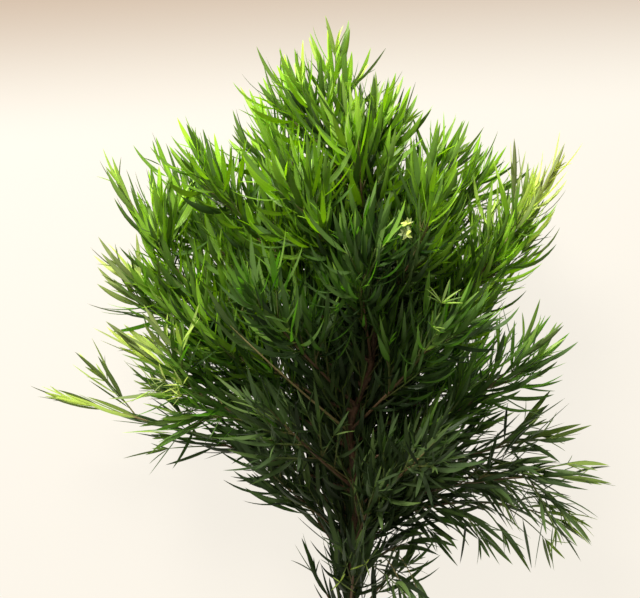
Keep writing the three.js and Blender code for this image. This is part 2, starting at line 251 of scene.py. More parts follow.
world = bpy.data.worlds.new("room")
bpy.context.scene.world = world
world.use_nodes = True
room = world.node_tree
background = room.nodes["Background"]
background.inputs["Color"].default_value = WORLD_COLOUR
seen = room.nodes.new("ShaderNodeLightPath").outputs["Is Camera Ray"]
strength = math_node(room, "MULTIPLY_ADD", seen, WORLD_SEEN - WORLD_FILL)
strength.node.inputs[2].default_value = WORLD_FILL
room.links.new(strength, background.inputs["Strength"])

key_data = bpy.data.lights.new("key", "AREA")
key_data.shape = "DISK"
key_data.size = KEY_SIZE
key_data.energy = KEY_POWER
key_data.color = KEY_COLOUR
key = bpy.data.objects.new("key", key_data)
key.location = KEY_PLACE
key_way = np.array(KEY_AIM) - np.array(KEY_PLACE)
key.rotation_euler = (
    math.pi / 2 + math.atan2(key_way[2], math.hypot(key_way[0], key_way[1])),
    0.0,
    math.atan2(-key_way[0], key_way[1]),
)
bpy.context.scene.collection.objects.link(key)
print("Key light at", KEY_PLACE)

# %% [markdown]
# ## Where everything grows
#
# A podocarpus stem forks all round into side branches, each side branch forks again into side twigs,
# and every twig carries its leaves in a spiral. Placing thousands of leaves by hand is out of the
# question, so the growth is written as rules, the same rules and the same numbers that the solids in
# the frame were made from. That way the fine twigs and leaves keep to the solid ones.

# %% The stem's line and its branches
STEM_CUT_RADIUS = 4.6
STEM_TOP_RADIUS = 1.7

# from the cut end to the last wood under the top shoot
STEM_LINE = np.array([
    (0, 0, 4), (1, 50, 4), (4, 115, 22), (6, 170, 42), (3, 215, 56), (0, 250, 63),
    (10, 285, 70), (22, 320, 78), (24, 365, 86), (17, 425, 93), (5, 490, 97), (-8, 548, 98),
], float)

# name: how far along Y it leaves the stem, where its main twig ends, how far its middle lies back
# from a straight line, how many side twigs it has, and how far its side twigs and leaves turn up
# towards +Y, over those of an upright branch (less than 0 turns them down)
BRANCHES = {
    "right_drooping": (138, (214, 158, 50), -52, 3, -0.7),
    "right_low": (160, (226, 206, 92), -26, 3, -0.4),
    "right_mid": (196, (194, 244, 56), 4, 3, -0.2),
    "right_reaching": (214, (174, 332, 122), 28, 3, 0.9),
    "right_inner": (236, (112, 306, 34), 8, 2, 0.6),
    "right_high": (262, (176, 474, 100), 34, 2, 1),
    "right_crown": (300, (198, 508, 132), 42, 3, 1.2),
    "right_upper": (340, (122, 512, 76), 22, 3, 0.7),
    "right_top": (392, (80, 520, 118), 18, 2, 0.9),
    "left_reaching": (186, (-280, 282, 78), -10, 1, 0.1),
    "left_low": (150, (-102, 262, 40), 8, 1, 0.4),
    "left_mid": (206, (-212, 334, 110), 16, 3, 0),
    "left_fan": (232, (-228, 414, 84), 26, 3, 0.7),
    "left_inner": (250, (-120, 352, 32), 10, 2, 0.6),
    "left_high": (270, (-230, 498, 92), 80, 4, 1.1),
    "left_crown": (296, (-192, 520, 56), 50, 2, 1.1),
    "left_upper": (320, (-148, 528, 128), 34, 3, 1),
    "left_top": (366, (-84, 556, 100), 20, 2, 1.1),
    "front_low_right": (170, (80, 246, 150), 12, 2, 0.3),
    "front_low_left": (190, (-80, 280, 158), 6, 2, 0.3),
    "front_mid_right": (250, (100, 372, 184), 10, 2, 1),
    "front_mid_left": (276, (-96, 392, 188), 10, 2, 1),
    "front_middle": (320, (4, 436, 200), 12, 2, 1),
    "front_right": (360, (84, 478, 180), 12, 2, 1),
    "front_left": (380, (-62, 496, 176), 12, 2, 1),
    "front_top": (428, (6, 546, 160), 14, 2, 0.9),
    "under_right": (240, (60, 366, 22), 8, 2, 1),
    "under_left": (262, (-60, 378, 22), 8, 2, 1),
    "under_middle": (226, (-10, 384, 26), 4, 2, 1),
    "under_low_right": (158, (52, 268, 22), 6, 2, 1),
    "under_low_left": (146, (-50, 280, 22), 6, 2, 1),
    "under_top_right": (350, (66, 486, 24), 12, 1, 1),
    "under_top_left": (372, (-60, 494, 24), 12, 1, 1),
    "top_right": (462, (24, 562, 118), 8, 1, 0.9),
    "top_left": (480, (-52, 586, 110), 8, 1, 1.1),
    "low_right": (142, (98, 220, 34), 14, 2, 0.5),
    "low_left": (132, (-98, 222, 72), 2, 2, 0.5),
    "neck_hanging": (94, (58, 134, 52), -8, 0, -1),
    "neck_left": (100, (-50, 180, 26), 0, 1, 0.4),
    "neck_right": (112, (52, 174, 72), 4, 1, 1.3),
    "neck_front": (126, (24, 192, 100), 4, 1, 0.9),
    "neck_low_left": (30, (-34, 98, 28), 0, 0, 0.8),
    "neck_low_right": (36, (48, 104, 26), -4, 0, 1),
    "neck_low_front": (60, (6, 130, 74), 2, 0, 1),
    "top_shoot": (548, (-8, 584, 98), 0, 1, 0.9),
}

# %% Curves and directions
UP = np.array([0.0, 0.0, 1.0])
STEM_SAMPLES = 4001  # of the stem's curve, to find a place on it by its Y


def unit(vector):
    return vector / np.linalg.norm(vector, axis=-1, keepdims=True)


def turned(first, second, angle):
    """A direction turned by an angle from a first one towards a second, square to it."""
    return first * math.cos(angle) + second * math.sin(angle)


def outwards(along, turn):
    """A direction square to the way a twig runs, turned round the twig."""
    side = unit(np.cross(along, UP))
    return turned(side, np.cross(side, along), turn)


def stem_point(share):
    """A point on the smooth curve through STEM_LINE, share running from 0 to 1."""
    last = len(STEM_LINE) - 1
    step = min(int(share * last), last - 1)
    w = share * last - step
    here, there = STEM_LINE[step], STEM_LINE[step + 1]
    before = STEM_LINE[step - 1] if step > 0 else 2 * here - there
    after = STEM_LINE[step + 2] if step + 2 <= last else 2 * there - here
    leave, arrive = (there - before) / 2, (after - here) / 2
    curve = -3 * here + 3 * there - 2 * leave - arrive
    return here + leave * w + curve * w * w + (2 * here - 2 * there + leave + arrive) * w**3


def stem_share_at(y):
    """Where along the stem's curve its Y reaches a given value."""
    shares = np.linspace(0, 1, STEM_SAMPLES)
    return np.interp(y, [stem_point(share)[1] for share in shares], shares)


def stem_radius(share):
    return STEM_CUT_RADIUS + (STEM_TOP_RADIUS - STEM_CUT_RADIUS) * share


def bow_arc(root, end, bow):
    """An arc as its three control points: its middle lies back along Y by bow."""
    return np.array([root, (root + end) / 2 - (0, bow, 0), end])


def arc_point(arc, t):
    return (1 - t) ** 2 * arc[0] + 2 * (1 - t) * t * arc[1] + t * t * arc[2]


def arc_way(arc, t):
    return unit((1 - t) * (arc[1] - arc[0]) + t * (arc[2] - arc[1]))


def arc_part(arc, start, end):
    """The part of an arc from start to end, as an arc."""
    first, last = arc_point(arc, start), arc_point(arc, end)
    middle = first + (arc[1] - arc[0] + (arc[2] - 2 * arc[1] + arc[0]) * start) * (end - start)
    return np.array([first, middle, last])


def arc_length(arc):
    points = np.array([arc_point(arc, t) for t in np.linspace(0, 1, 201)])
    return np.linalg.norm(np.diff(points, axis=0), axis=1).sum()


print("The stem is", round(sum(np.linalg.norm(np.diff(STEM_LINE, axis=0), axis=1))), "mm long")

# %% [markdown]
# ## Twigs
#
# Each side branch starts as brown wood and goes on as a green main twig, which side twigs leave by
# turns to the left and to the right. A side twig that would run into another branch is tried again at
# another angle, which is how a real one grows too: it goes where there is room. The draws are seeded,
# so that the plant is the same one on every run.
#
# The solids carry one leaf in four, on the main and side twigs alone. The real plant is much fuller,
# so each main twig and each side twig also gets short twigs of its own. They stay between their
# neighbours, so that they fill the branch without changing its outline. More of them grow straight
# from the stem and fill the middle of the plant.

# %% Seeded draws
WOOD_SHARE = 0.16  # how much of a side branch is brown wood
STUB_RADIUS = 1.9  # the thickest woody stub
STUB_OVER_STEM = 0.62  # a stub's radius over the stem's, where the stem is thin
STUB_TAPER = 0.86  # a stub's end over its root
SEAT_GAP = 0.3  # between a solid stub and the solid branch on it
SIDE_TWIG_RADIUS = 1.15
TWIG_TIP_RADIUS = 0.8
SPIRAL_TURN = math.radians(137.5)  # round a twig, from one leaf or short twig to the next


def seeded_draw(seed):
    """Numbers in a fixed order that look random, the same on every run."""
    state = seed
    whole = 0xFFFFFFFF

    def draw():
        nonlocal state
        state = (state + 0x6D2B79F5) & whole
        mixed = ((state ^ (state >> 15)) * (1 | state)) & whole
        mixed = ((mixed + (((mixed ^ (mixed >> 7)) * (61 | mixed)) & whole)) & whole) ^ mixed
        return (mixed ^ (mixed >> 14)) / (whole + 1)

    return draw


def between(low_high, share):
    return low_high[0] + (low_high[1] - low_high[0]) * share


@dataclass
class Twig:
    arc: np.ndarray
    radius: float
    tip_radius: float
    seed: int
    kind: str  # main, side, short, bare or tuft


@dataclass
class Branch:
    name: str
    index: int
    arc: np.ndarray
    radius: float
    bow: float
    sides: int
    lift: float
    twigs: list = field(default_factory=list)


branches = []
for index, (name, (y, end, bow, sides, lift)) in enumerate(BRANCHES.items()):
    share = stem_share_at(y)
    radius = min(STUB_RADIUS, stem_radius(share) * STUB_OVER_STEM)
    arc = bow_arc(stem_point(share), np.array(end, float), bow)
    branches.append(Branch(name, index, arc, radius, bow, sides, lift))


def branch_called(name):
    return next(branch for branch in branches if branch.name == name)


print(len(branches), "branches leave the stem")

# %% Main and side twigs
FORKS = (0.08, 0.86)  # the first and last places for side twigs along a main twig
FORK_ANGLE = math.radians(34)
FORK_PLAY = math.radians(16)
FORK_TILT = math.radians(80)  # the whole range out of the branch's plane
FORK_LENGTH = 0.46  # a side twig's length over the rest of its main twig, at least FORK_LEAST
FORK_LEAST = 44
FORK_LENGTH_PLAY = (0.85, 1.15)
FORK_TRIES = 8
FORK_FLOOR = 12  # the lowest that a twig's end may be
SIDE_BOW = 0.3  # a side twig's bow over its branch's
SIDE_RISE = 0.4  # how far side and short twigs are drawn up, towards +Y
CLEARANCE = 0.35  # between the twigs of two branches
STEM_STEPS = 12  # the straight parts that the solids cut the stem, a main twig and a side twig into
MAIN_STEPS = 4
SIDE_STEPS = 2
LEAF_SEEDS = 1000
FORK_SEEDS = 6000

bars = []  # straight bars that a new side twig has to clear: start, end, radius, branch


def bars_along(point_at, steps, radius, owner):
    ends = [point_at(i / steps) for i in range(steps + 1)]
    return [(a, b, radius, owner) for a, b in zip(ends, ends[1:])]


def is_clear(bar):
    """True where a bar is clear of all bars on other branches."""
    others = [other for other in bars if other[3] != bar[3]]
    starts, ends, radii = (np.array([other[i] for other in others]) for i in range(3))
    u, v, w = bar[1] - bar[0], ends - starts, bar[0] - starts
    a, b, c = u @ u, v @ u, (v * v).sum(1)
    d, e = w @ u, (w * v).sum(1)
    first = np.clip((b * e - c * d) / np.maximum(a * c - b * b, 1e-9), 0, 1)
    t = np.clip((b * first + e) / c, 0, 1)
    s = np.clip((b * t - d) / a, 0, 1)
    gap = np.linalg.norm(w + s[:, None] * u - v * t[:, None], axis=1)
    return (gap >= radii + bar[2] + CLEARANCE).all()


def main_twig(branch):
    start = WOOD_SHARE + SEAT_GAP / arc_length(branch.arc)
    arc = arc_part(branch.arc, start, 1)
    return Twig(arc, branch.radius * STUB_TAPER, TWIG_TIP_RADIUS, LEAF_SEEDS + branch.index * 10, "main")


def faceted(arc, steps):
    """A point on an arc that is cut into straight steps."""
    ends = [arc_point(arc, i / steps) for i in range(steps + 1)]

    def point_at(t):
        step = min(steps - 1, int(t * steps))
        return ends[step] + (ends[step + 1] - ends[step]) * (t * steps - step)

    return point_at


def side_twig(branch, k):
    main = branch.twigs[0]
    at = between(FORKS, (k + 0.5) / branch.sides)
    root = faceted(main.arc, MAIN_STEPS)(at)
    along = arc_way(main.arc, at)
    place = branch.index * 10 + k + 1
    draw = seeded_draw(FORK_SEEDS + place)
    rest = np.linalg.norm(root - main.arc[2])
    side = unit(np.cross(along, UP)) * (1 if (k + branch.index) % 2 else -1)
    for _ in range(FORK_TRIES):
        angle = FORK_ANGLE + (draw() - 0.5) * FORK_PLAY
        out = turned(side, UP, (draw() - 0.5) * FORK_TILT)
        way = turned(along, out, angle) + (0, SIDE_RISE * branch.lift, 0)
        length = max(FORK_LEAST, rest * FORK_LENGTH) * between(FORK_LENGTH_PLAY, draw())
        end = root + unit(way) * length
        end[2] = max(end[2], FORK_FLOOR)
        arc = bow_arc(root, end, branch.bow * SIDE_BOW)
        own = bars_along(lambda t: arc_point(arc, t), SIDE_STEPS, SIDE_TWIG_RADIUS, branch.name)
        if all(is_clear(bar) for bar in own):
            bars.extend(own)
            return Twig(arc, SIDE_TWIG_RADIUS, TWIG_TIP_RADIUS, LEAF_SEEDS + place, "side")
    return None


bars += bars_along(stem_point, STEM_STEPS, STEM_CUT_RADIUS, "stem")
for branch in branches:
    bars += bars_along(lambda t: arc_point(branch.arc, t * WOOD_SHARE), 1, branch.radius, "wood")
for branch in branches:
    main = main_twig(branch)
    branch.twigs.append(main)
    bars += bars_along(lambda t: arc_point(main.arc, t), MAIN_STEPS, main.radius, branch.name)
for branch in branches:
    branch.twigs += [twig for k in range(branch.sides) if (twig := side_twig(branch, k))]
print(sum(len(branch.twigs) for branch in branches), "main and side twigs")

# %% Short twigs between them
SHORT_PITCH = 17  # from one short twig to the next along a main or side twig
SHORT_ENDS = (0.06, 0.74)  # the part of a main or side twig that has short ones
SHORT_TURN_PLAY = 1.5  # in radians
SHORT_ANGLE = (math.radians(20), math.radians(38))
SHORT_BOW = SIDE_BOW * 0.5
SHORT_RADIUS = 0.9
SHORT_TIP_RADIUS = 0.55
SHORT_SEEDS = 9000
SHORT_LEAF_SEEDS = 19000
SHORT_LENGTH = (38, 66)
SHORT_REACH = (0.95, 16)  # a short twig's greatest length: a share of the rest of its twig, and mm more
# how many short twigs a branch has over the common number, where it isn't 1
FULLNESS = {
    "right_drooping": 0.45, "right_low": 0.6, "right_mid": 0.85, "left_crown": 1.7, "left_upper": 1.5,
    "left_high": 1.2, "left_top": 1.5, "right_top": 1.3, "top_left": 1.4, "top_right": 1.4,
    "front_left": 1.3, "front_middle": 1.3, "under_top_left": 1.6, "under_top_right": 1.4,
    "left_reaching": 0.3, "neck_right": 1.3, "neck_front": 1.5, "low_right": 1.3, "neck_low_left": 0.4,
    "neck_left": 0.5, "neck_low_right": 0.5, "neck_hanging": 0.4,
}


def short_twigs(branch, twig, number):
    """Short twigs all along a main or side twig, turning round it."""
    draw = seeded_draw(SHORT_SEEDS + branch.index * 10 + number)
    length = arc_length(twig.arc)
    fullness = FULLNESS.get(branch.name, 1)
    count = int(length * (SHORT_ENDS[1] - SHORT_ENDS[0]) / SHORT_PITCH * fullness)
    found = []
    for i in range(count):
        at = between(SHORT_ENDS, (i + draw()) / count)
        root, along = arc_point(twig.arc, at), arc_way(twig.arc, at)
        out = outwards(along, i * SPIRAL_TURN + draw() * SHORT_TURN_PLAY)
        way = turned(along, out, between(SHORT_ANGLE, draw())) + (0, SIDE_RISE * branch.lift, 0)
        reach = min(between(SHORT_LENGTH, draw()), length * (1 - at) * SHORT_REACH[0] + SHORT_REACH[1])
        end = root + unit(way) * reach
        end[2] = max(end[2], FORK_FLOOR)
        arc = bow_arc(root, end, branch.bow * SHORT_BOW)
        seed = SHORT_LEAF_SEEDS + branch.index * 200 + number * 20 + i
        found.append(Twig(arc, SHORT_RADIUS, SHORT_TIP_RADIUS, seed, "short"))
    return found


for branch in branches:
    for number, twig in enumerate(list(branch.twigs)):
        branch.twigs += short_twigs(branch, twig, number)
print(sum(len(branch.twigs) for branch in branches), "twigs in all")

# %% Shoots that grow straight from the stem
# how many, the span of the stem's Y that they leave, their angle to it, their length, and how much of
# the way round the stem they take, from its underside
SHOOT_BANDS = [
    (22, (24, 126), (4, 14), (40, 78), 1.0),
    (22, (120, 250), (14, 38), (56, 92), 1.0),
    (36, (250, 430), (26, 52), (56, 96), 1.0),
    (12, (430, 540), (20, 40), (40, 70), 1.0),
    (32, (110, 260), (16, 60), (50, 90), 0.45),
    (44, (250, 430), (30, 72), (60, 110), 0.45),
]
SHOOT_TURN_PLAY = 1.2  # in radians
SHOOT_BOW = 4.0
SHOOT_SEEDS = 30000
SHOOT_LEAF_SEEDS = 100  # on top of its band's seed
NEXT_TO = 0.01  # along the stem, to each side of a shoot, to find which way the stem runs


def stem_shoots(count, span, angles, lengths, round_share, seed):
    draw = seeded_draw(seed)
    found = []
    for i in range(count):
        share = stem_share_at(between(span, (i + draw()) / count))
        root = stem_point(share)
        along = unit(stem_point(min(share + NEXT_TO, 1)) - stem_point(share - NEXT_TO))
        turn = (i * SPIRAL_TURN + draw() * SHOOT_TURN_PLAY) % math.tau - math.pi
        out = outwards(along, turn * round_share - math.pi / 2)
        way = turned(along, out, math.radians(between(angles, draw())))
        end = root + way * between(lengths, draw())
        end[2] = max(end[2], FORK_FLOOR)
        arc = bow_arc(root, end, SHOOT_BOW)
        found.append(Twig(arc, SHORT_RADIUS, SHORT_TIP_RADIUS, seed + SHOOT_LEAF_SEEDS + i, "short"))
    return found


inner_arc = np.array([STEM_LINE[0], STEM_LINE[6], STEM_LINE[-1]])
inner = Branch("inner_shoots", len(branches), inner_arc, radius=1, bow=0, sides=0, lift=1)
for band, (count, span, angles, lengths, round_share) in enumerate(SHOOT_BANDS):
    inner.twigs += stem_shoots(count, span, angles, lengths, round_share, SHOOT_SEEDS + band * 1000)
print(len(inner.twigs), "shoots on the stem")

# %% [markdown]
# ## Twigs that can be told apart
#
# Two twigs are seen by themselves in the picture: a long tan one that leaves the stem at its fork and
# goes up to the left, and a short one under it. Two more hang at the neck. They carry leaves only at
# their outer end. Further on, leaves that would hide them or the stem behind them are left out.

# %% Twigs that can be told apart
# branch, where along its main twig or, for the inner shoots, how far along Y the twig leaves, its end,
# its bow and its radius at the root
SINGLE_TWIGS = [
    ("inner_shoots", 249, (-116, 358, 152), 5, 1.5),
    ("inner_shoots", 196, (-26, 222, 84), 2, 0.9),
    ("neck_hanging", 0.45, (57, 82, 58), -14, 0.8),
    ("neck_hanging", 0.70, (70, 86, 56), -12, 0.7),
]
SINGLE_SEEDS = 40000
SINGLE_TIP_RADIUS = TWIG_TIP_RADIUS * 0.7

single_twigs = []
for number, (name, place, end, bow, radius) in enumerate(SINGLE_TWIGS):
    branch = inner if name == inner.name else branch_called(name)
    root = stem_point(stem_share_at(place)) if branch is inner else arc_point(branch.twigs[0].arc, place)
    arc = bow_arc(root, np.array(end, float), bow)
    single_twigs.append(Twig(arc, radius, SINGLE_TIP_RADIUS, SINGLE_SEEDS + number, "bare"))
    branch.twigs.append(single_twigs[-1])
print(len(single_twigs), "twigs that can be told apart")

# %% [markdown]
# ## The leaf
#
# A podocarpus leaf is a narrow lance, about nine times as long as it is wide. It is widest a third of
# the way along, narrows to a short stalk at one end and to a long fine point at the other, and is
# folded a little along its midrib, which stands out underneath. It has no teeth and no side veins.
#
# It is modelled once, at full size, from a four-sided rod: two of the corners become the leaf's two
# edges, the third its midrib above and the fourth its keel below. The rod is cut across into rings
# with bisect, and each ring is then resized to the leaf's width there. Four faces a ring are few
# enough for thousands of copies, and they still give the leaf its fold and its thin sharp edge.

# %% Model one leaf
LEAF_LENGTH = 62
LEAF_HALF_WIDTH = 2.8
LEAF_THICKNESS = 0.42
THIN_SHARE = 0.35  # the least thickness over that, where the leaf is narrow
LEAF_FOLD = 0.55  # how far the midrib lies under the edges where the leaf is widest
NEAR = 1e-4  # places on a model that differ by less are the same
# how far along the leaf, and its width there over its greatest width
LEAF_PROFILE = [
    (0.0, 0.14), (0.05, 0.18), (0.12, 0.46), (0.22, 0.80), (0.34, 1.0),
    (0.50, 1.0), (0.66, 0.87), (0.80, 0.62), (0.92, 0.29), (1.0, 0.0),
]


def select_where(test):
    """In edit mode, selects the corners whose place passes a test."""
    bpy.ops.mesh.select_mode(type="VERT")
    bpy.ops.mesh.select_all(action="DESELECT")
    mesh = bpy.context.object.data
    edited = bmesh.from_edit_mesh(mesh)
    for vertex in edited.verts:
        vertex.select = test(vertex.co)
    edited.select_flush(True)
    bmesh.update_edit_mesh(mesh)


def add_rod(name, sides, places):
    """A rod one unit long up Z and one unit in radius, cut across at the places given."""
    bpy.ops.mesh.primitive_cylinder_add(vertices=sides, radius=1, depth=1, location=(0, 0, 0.5))
    rod = bpy.context.object
    rod.name = name
    bpy.ops.object.transform_apply(location=True)
    bpy.ops.object.mode_set(mode="EDIT")
    for place in places:
        bpy.ops.mesh.select_all(action="SELECT")
        bpy.ops.mesh.bisect(plane_co=(0, 0, place), plane_no=(0, 0, 1))
    return rod


def model_leaf():
    leaf = add_rod("leaf", 4, [place for place, _ in LEAF_PROFILE[1:-1]])
    for place, width in LEAF_PROFILE[:-1]:
        half_thick = LEAF_THICKNESS / 2 * between((THIN_SHARE, 1), width)
        select_where(lambda co: abs(co.z - place) < NEAR)
        bpy.ops.transform.resize(value=(LEAF_HALF_WIDTH * width, half_thick, 1))
        select_where(lambda co: abs(co.z - place) < NEAR and abs(co.x) < NEAR)
        bpy.ops.transform.translate(value=(0, LEAF_FOLD * width, 0))
    select_where(lambda co: co.z > 1 - NEAR)
    bpy.ops.mesh.merge(type="CENTER")
    bpy.ops.object.mode_set(mode="OBJECT")
    return leaf


@dataclass
class Shape:
    """A modelled shape as arrays: its corners, its faces, and a place on each for its pattern."""
    points: np.ndarray
    faces: list
    pattern: np.ndarray
    under: np.ndarray


def read_shape(model, half_width):
    """Takes a finished model out of the scene and keeps it as a Shape."""
    mesh = model.data
    points = np.array([v.co for v in mesh.vertices])
    faces = [list(face.vertices) for face in mesh.polygons]
    pattern = np.stack([points[:, 0] / half_width / 2 + 0.5, points[:, 2]], axis=1)
    middle = np.abs(points[:, 0]) < NEAR
    upper = np.array([points[np.abs(points[:, 2] - p[2]) < NEAR, 1].mean() for p in points])
    under = np.where(middle, np.where(points[:, 1] > upper, 1.0, 0.0), 0.5)
    bpy.data.objects.remove(model)
    bpy.data.meshes.remove(mesh)
    return Shape(points, faces, pattern, under)


LEAF = read_shape(model_leaf(), LEAF_HALF_WIDTH)
print("The leaf has", len(LEAF.faces), "faces")

# %% [markdown]
# ## Where each leaf grows
#
# From one leaf to the next, the twig's spiral turns by 137.5 degrees. Low on a twig the leaves stand
# wide, and towards its end they close up round the tip. The plant grew upright, so every leaf's outer
# half bends up, towards +Y here, except on the few branches that droop. A leaf that would pass under
# the floor is laid flat on it, with its keel up.
#
# A rule alone gives branches that are all alike. So the tables below say what is the branch's own:
# whose leaves are narrow, which branch is pale with new growth, which has lost leaves, and whose
# leaves lie level or close along the stem.

# %% Leaves along a twig
LEAF_PITCH = 5.2
LEAF_KEEL = 1.4  # the room under a leaf that its keel and fold take
LEAF_WIDEST = 0.34  # how far along a leaf
BARE_SHARE = 0.06  # the first leaf's place along a twig
LAST_LEAF = 0.985  # and the last one's
BARE_TWIG = 0.55  # how much of a bare twig has no leaves
TURN_PLAY = 0.7  # in radians, as the next
SPREAD_PLAY = 0.3
SPREAD = (math.radians(42), math.radians(13))  # a leaf's angle to its twig at the root and the end
SHORT_SPREAD = (math.radians(50), math.radians(22))  # and on a short twig
RISE = (0.12, 0.62)  # how far a leaf's outer half turns up
SHORT_RISE = 1.5  # how much more the leaves of short twigs do
SIZE_LEAST = 0.72  # leaves are smaller at both ends of a twig: the least size over the full one
SIZE_WAVE = (0.15, 0.9)  # and the part of a half wave that their sizes follow
SIZE_PLAY = (0.88, 1.12)
SHORT_TWIG_LEAF = 0.94  # a short twig's leaves over a long one's
WIDTH_PLAY = (0.80, 1.26)
# leaves are wider the more light they get: their width over the common one, low and high on the plant
WIDTH_BY_Y = ((260, 500), (0.86, 1.03))
# the width of a branch's leaves over the common one
NARROW = {
    "right_low": 0.94, "left_reaching": 0.85, "front_low_right": 0.84, "front_low_left": 0.88,
    "right_crown": 0.76, "right_high": 0.8, "right_upper": 0.8, "right_top": 0.88, "right_reaching": 0.9,
    "right_inner": 0.9, "front_right": 0.88,
}
ROLL_PLAY = math.radians(70)
SWAY = 6.0  # how far a leaf's middle is drawn to one side, in its own plane
ARCH = (-2.0, 5.0)  # and out of it, away from the twig
SAG = 0.16  # and back along Y, over the leaf's length, so that its end turns up
TOP_REACH = 228  # no leaf is higher over the floor
AGE_SHARE = 0.75  # of the age scale is for common leaves, and the rest for pale new ones
# how far the leaves at a branch's end are pale new growth
FRESH = {
    "left_reaching": 1.0, "left_mid": 0.85, "left_fan": 0.85, "right_crown": 1.0, "right_high": 0.6,
    "left_high": 0.35, "right_drooping": 0.6, "right_low": 0.4, "right_mid": 0.45,
    "right_reaching": 0.35, "top_shoot": 0.45, "top_left": 0.3, "top_right": 0.3, "front_top": 0.3,
    "left_top": 0.25, "right_top": 0.25,
}
FRESH_FROM = (0.55, 1.1)  # where along a branch the pale leaves start, and where all are pale
THINNED_TO = 0.88  # how far along a twig leaves can be lost
# the share of them that a branch has lost
THINNED = {
    "left_reaching": 0.35, "right_drooping": 0.45, "right_low": 0.4, "right_mid": 0.2,
    "neck_low_left": 0.45, "neck_left": 0.4, "neck_low_right": 0.3, "left_low": 0.15, "low_left": 0.15,
}
# how much of the common rise a branch's leaves have
LEVEL = {
    "left_reaching": 0.3, "left_fan": 0.4, "left_mid": 0.45, "right_reaching": 0.5, "right_mid": 0.5,
    "right_low": 0.5,
}
TIGHT = {"left_reaching": 0.5}  # the angle of a branch's leaves to their twig over the common one
# at the foot the leaves of these close up along the stem: along Y, that angle over the common one
HUGGING = ("inner_shoots", "neck_left", "neck_low_left", "low_left")
HUG_BY_Y = ((90, 240), (0.4, 1.0))

print(len({*NARROW, *FRESH, *THINNED, *LEVEL, *TIGHT, *HUGGING}), "branches have leaves of their own kind")


# %% Wood that stays in sight
# the stem and the twig that fork in the middle of the picture stay in sight: how far to each side of
# them there are no leaves in front, and the share of the leaves that stay all the same
OPEN_STEM = (132, 350)  # along Y
OPEN_TWIGS = 2  # how many of the single twigs, and how far along each
OPEN_TWIG_SHARE = 0.8
OPEN_HALF_WIDTH = 3.5
OPEN_KEPT = 0.06
HIDING_PART = (0.1, 0.95)  # the part of a leaf that can hide the wood
VIEW_POINT = (-30, 384, 1690)  # the camera's, in the plant's millimetres


def in_picture(points):
    """Where the camera sees points, as X and Y on the floor's plane."""
    reach = VIEW_POINT[2] / (VIEW_POINT[2] - points[..., 2:])
    return VIEW_POINT[:2] + (points[..., :2] - VIEW_POINT[:2]) * reach


open_wood = np.array(
    [stem_point(stem_share_at(y)) for y in range(*OPEN_STEM, 3)]
    + [
        arc_point(twig.arc, t)
        for twig in single_twigs[:OPEN_TWIGS] for t in np.linspace(0, OPEN_TWIG_SHARE, 40)
    ]
)
open_places = in_picture(open_wood)


def hides_wood(arc):
    """True for a leaf that lies between the camera and the open wood."""
    points = np.array([arc_point(arc, t) for t in np.linspace(*HIDING_PART, 9)])
    gaps = np.linalg.norm(in_picture(points)[:, None] - open_places, axis=-1)
    return ((gaps < OPEN_HALF_WIDTH) & (points[:, None, 2] > open_wood[:, 2])).any()


print(len(open_wood), "places on the wood stay in sight")

# %% Every leaf in its place
BUD_LEAVES = 4  # small new leaves at the very end of a twig
BUD_SIZE = (0.28, 0.55)
BUD_SPREAD = (math.radians(6), math.radians(34))
BUD_WIDTH = 1.1
TUFT_ARCH = 0.2  # how far a bud's or a tuft's leaves bend out
TUFT_LOOKS = 50000  # on top of its twig's seed


@dataclass
class Leaf:
    arc: np.ndarray
    back: np.ndarray
    width: float
    young: float
    chance: float


def leaves_on(twig, branch):
    draw = seeded_draw(twig.seed)
    looks = np.random.default_rng(twig.seed)
    length = arc_length(twig.arc)
    count = int(length * (1 - BARE_SHARE) / LEAF_PITCH)
    found = []
    for i in range(count):
        s = (i + 0.5) / count
        turn_draw, spread_draw, length_draw, bend_draw = draw(), draw(), draw(), draw()
        t = between((BARE_SHARE, LAST_LEAF), s)
        root, along = arc_point(twig.arc, t), arc_way(twig.arc, t)
        out = outwards(along, i * SPIRAL_TURN + (turn_draw - 0.5) * TURN_PLAY)
        spread = between(SHORT_SPREAD if twig.kind == "short" else SPREAD, s)
        spread += (spread_draw - 0.5) * SPREAD_PLAY
        spread *= TIGHT.get(branch.name, 1)
        if branch.name in HUGGING:
            spread *= np.interp(root[1], *HUG_BY_Y)
        size = LEAF_LENGTH * between((SIZE_LEAST, 1), math.sin(math.pi * between(SIZE_WAVE, s)))
        size *= between(SIZE_PLAY, length_draw) * (SHORT_TWIG_LEAF if twig.kind == "short" else 1)
        way, back = turned(along, out, spread), turned(out, -along, spread)
        lift = branch.lift * LEVEL.get(branch.name, 1)
        bend = between(RISE, bend_draw) * lift * (SHORT_RISE if twig.kind == "short" else 1)
        middle = root + way * size / 2
        tip = middle + unit(way + (0, bend, 0)) * size / 2
        arc = np.array([root, middle, tip])
        arc[1] += unit(np.cross(way, back)) * (looks.random() - 0.5) * SWAY
        arc[1] += back * between(ARCH, looks.random())
        arc[1] -= (0, SAG * size * lift * (1 - abs(way[1])), 0)
        arc, back = rest_on_floor(arc, back, (looks.random() - 0.5) * ROLL_PLAY)
        width = (size / LEAF_LENGTH) ** 0.5 * between(WIDTH_PLAY, looks.random())
        width *= np.interp(middle[1], *WIDTH_BY_Y) * NARROW.get(branch.name, 1)
        lost = looks.random() < THINNED.get(branch.name, 0) and s < THINNED_TO
        if lost or twig.kind == "bare" and s < BARE_TWIG:
            continue
        if hides_wood(arc) and looks.random() > OPEN_KEPT:
            continue
        found.append(Leaf(arc, back, width, age_of(branch, tip, s), looks.random()))
    return found


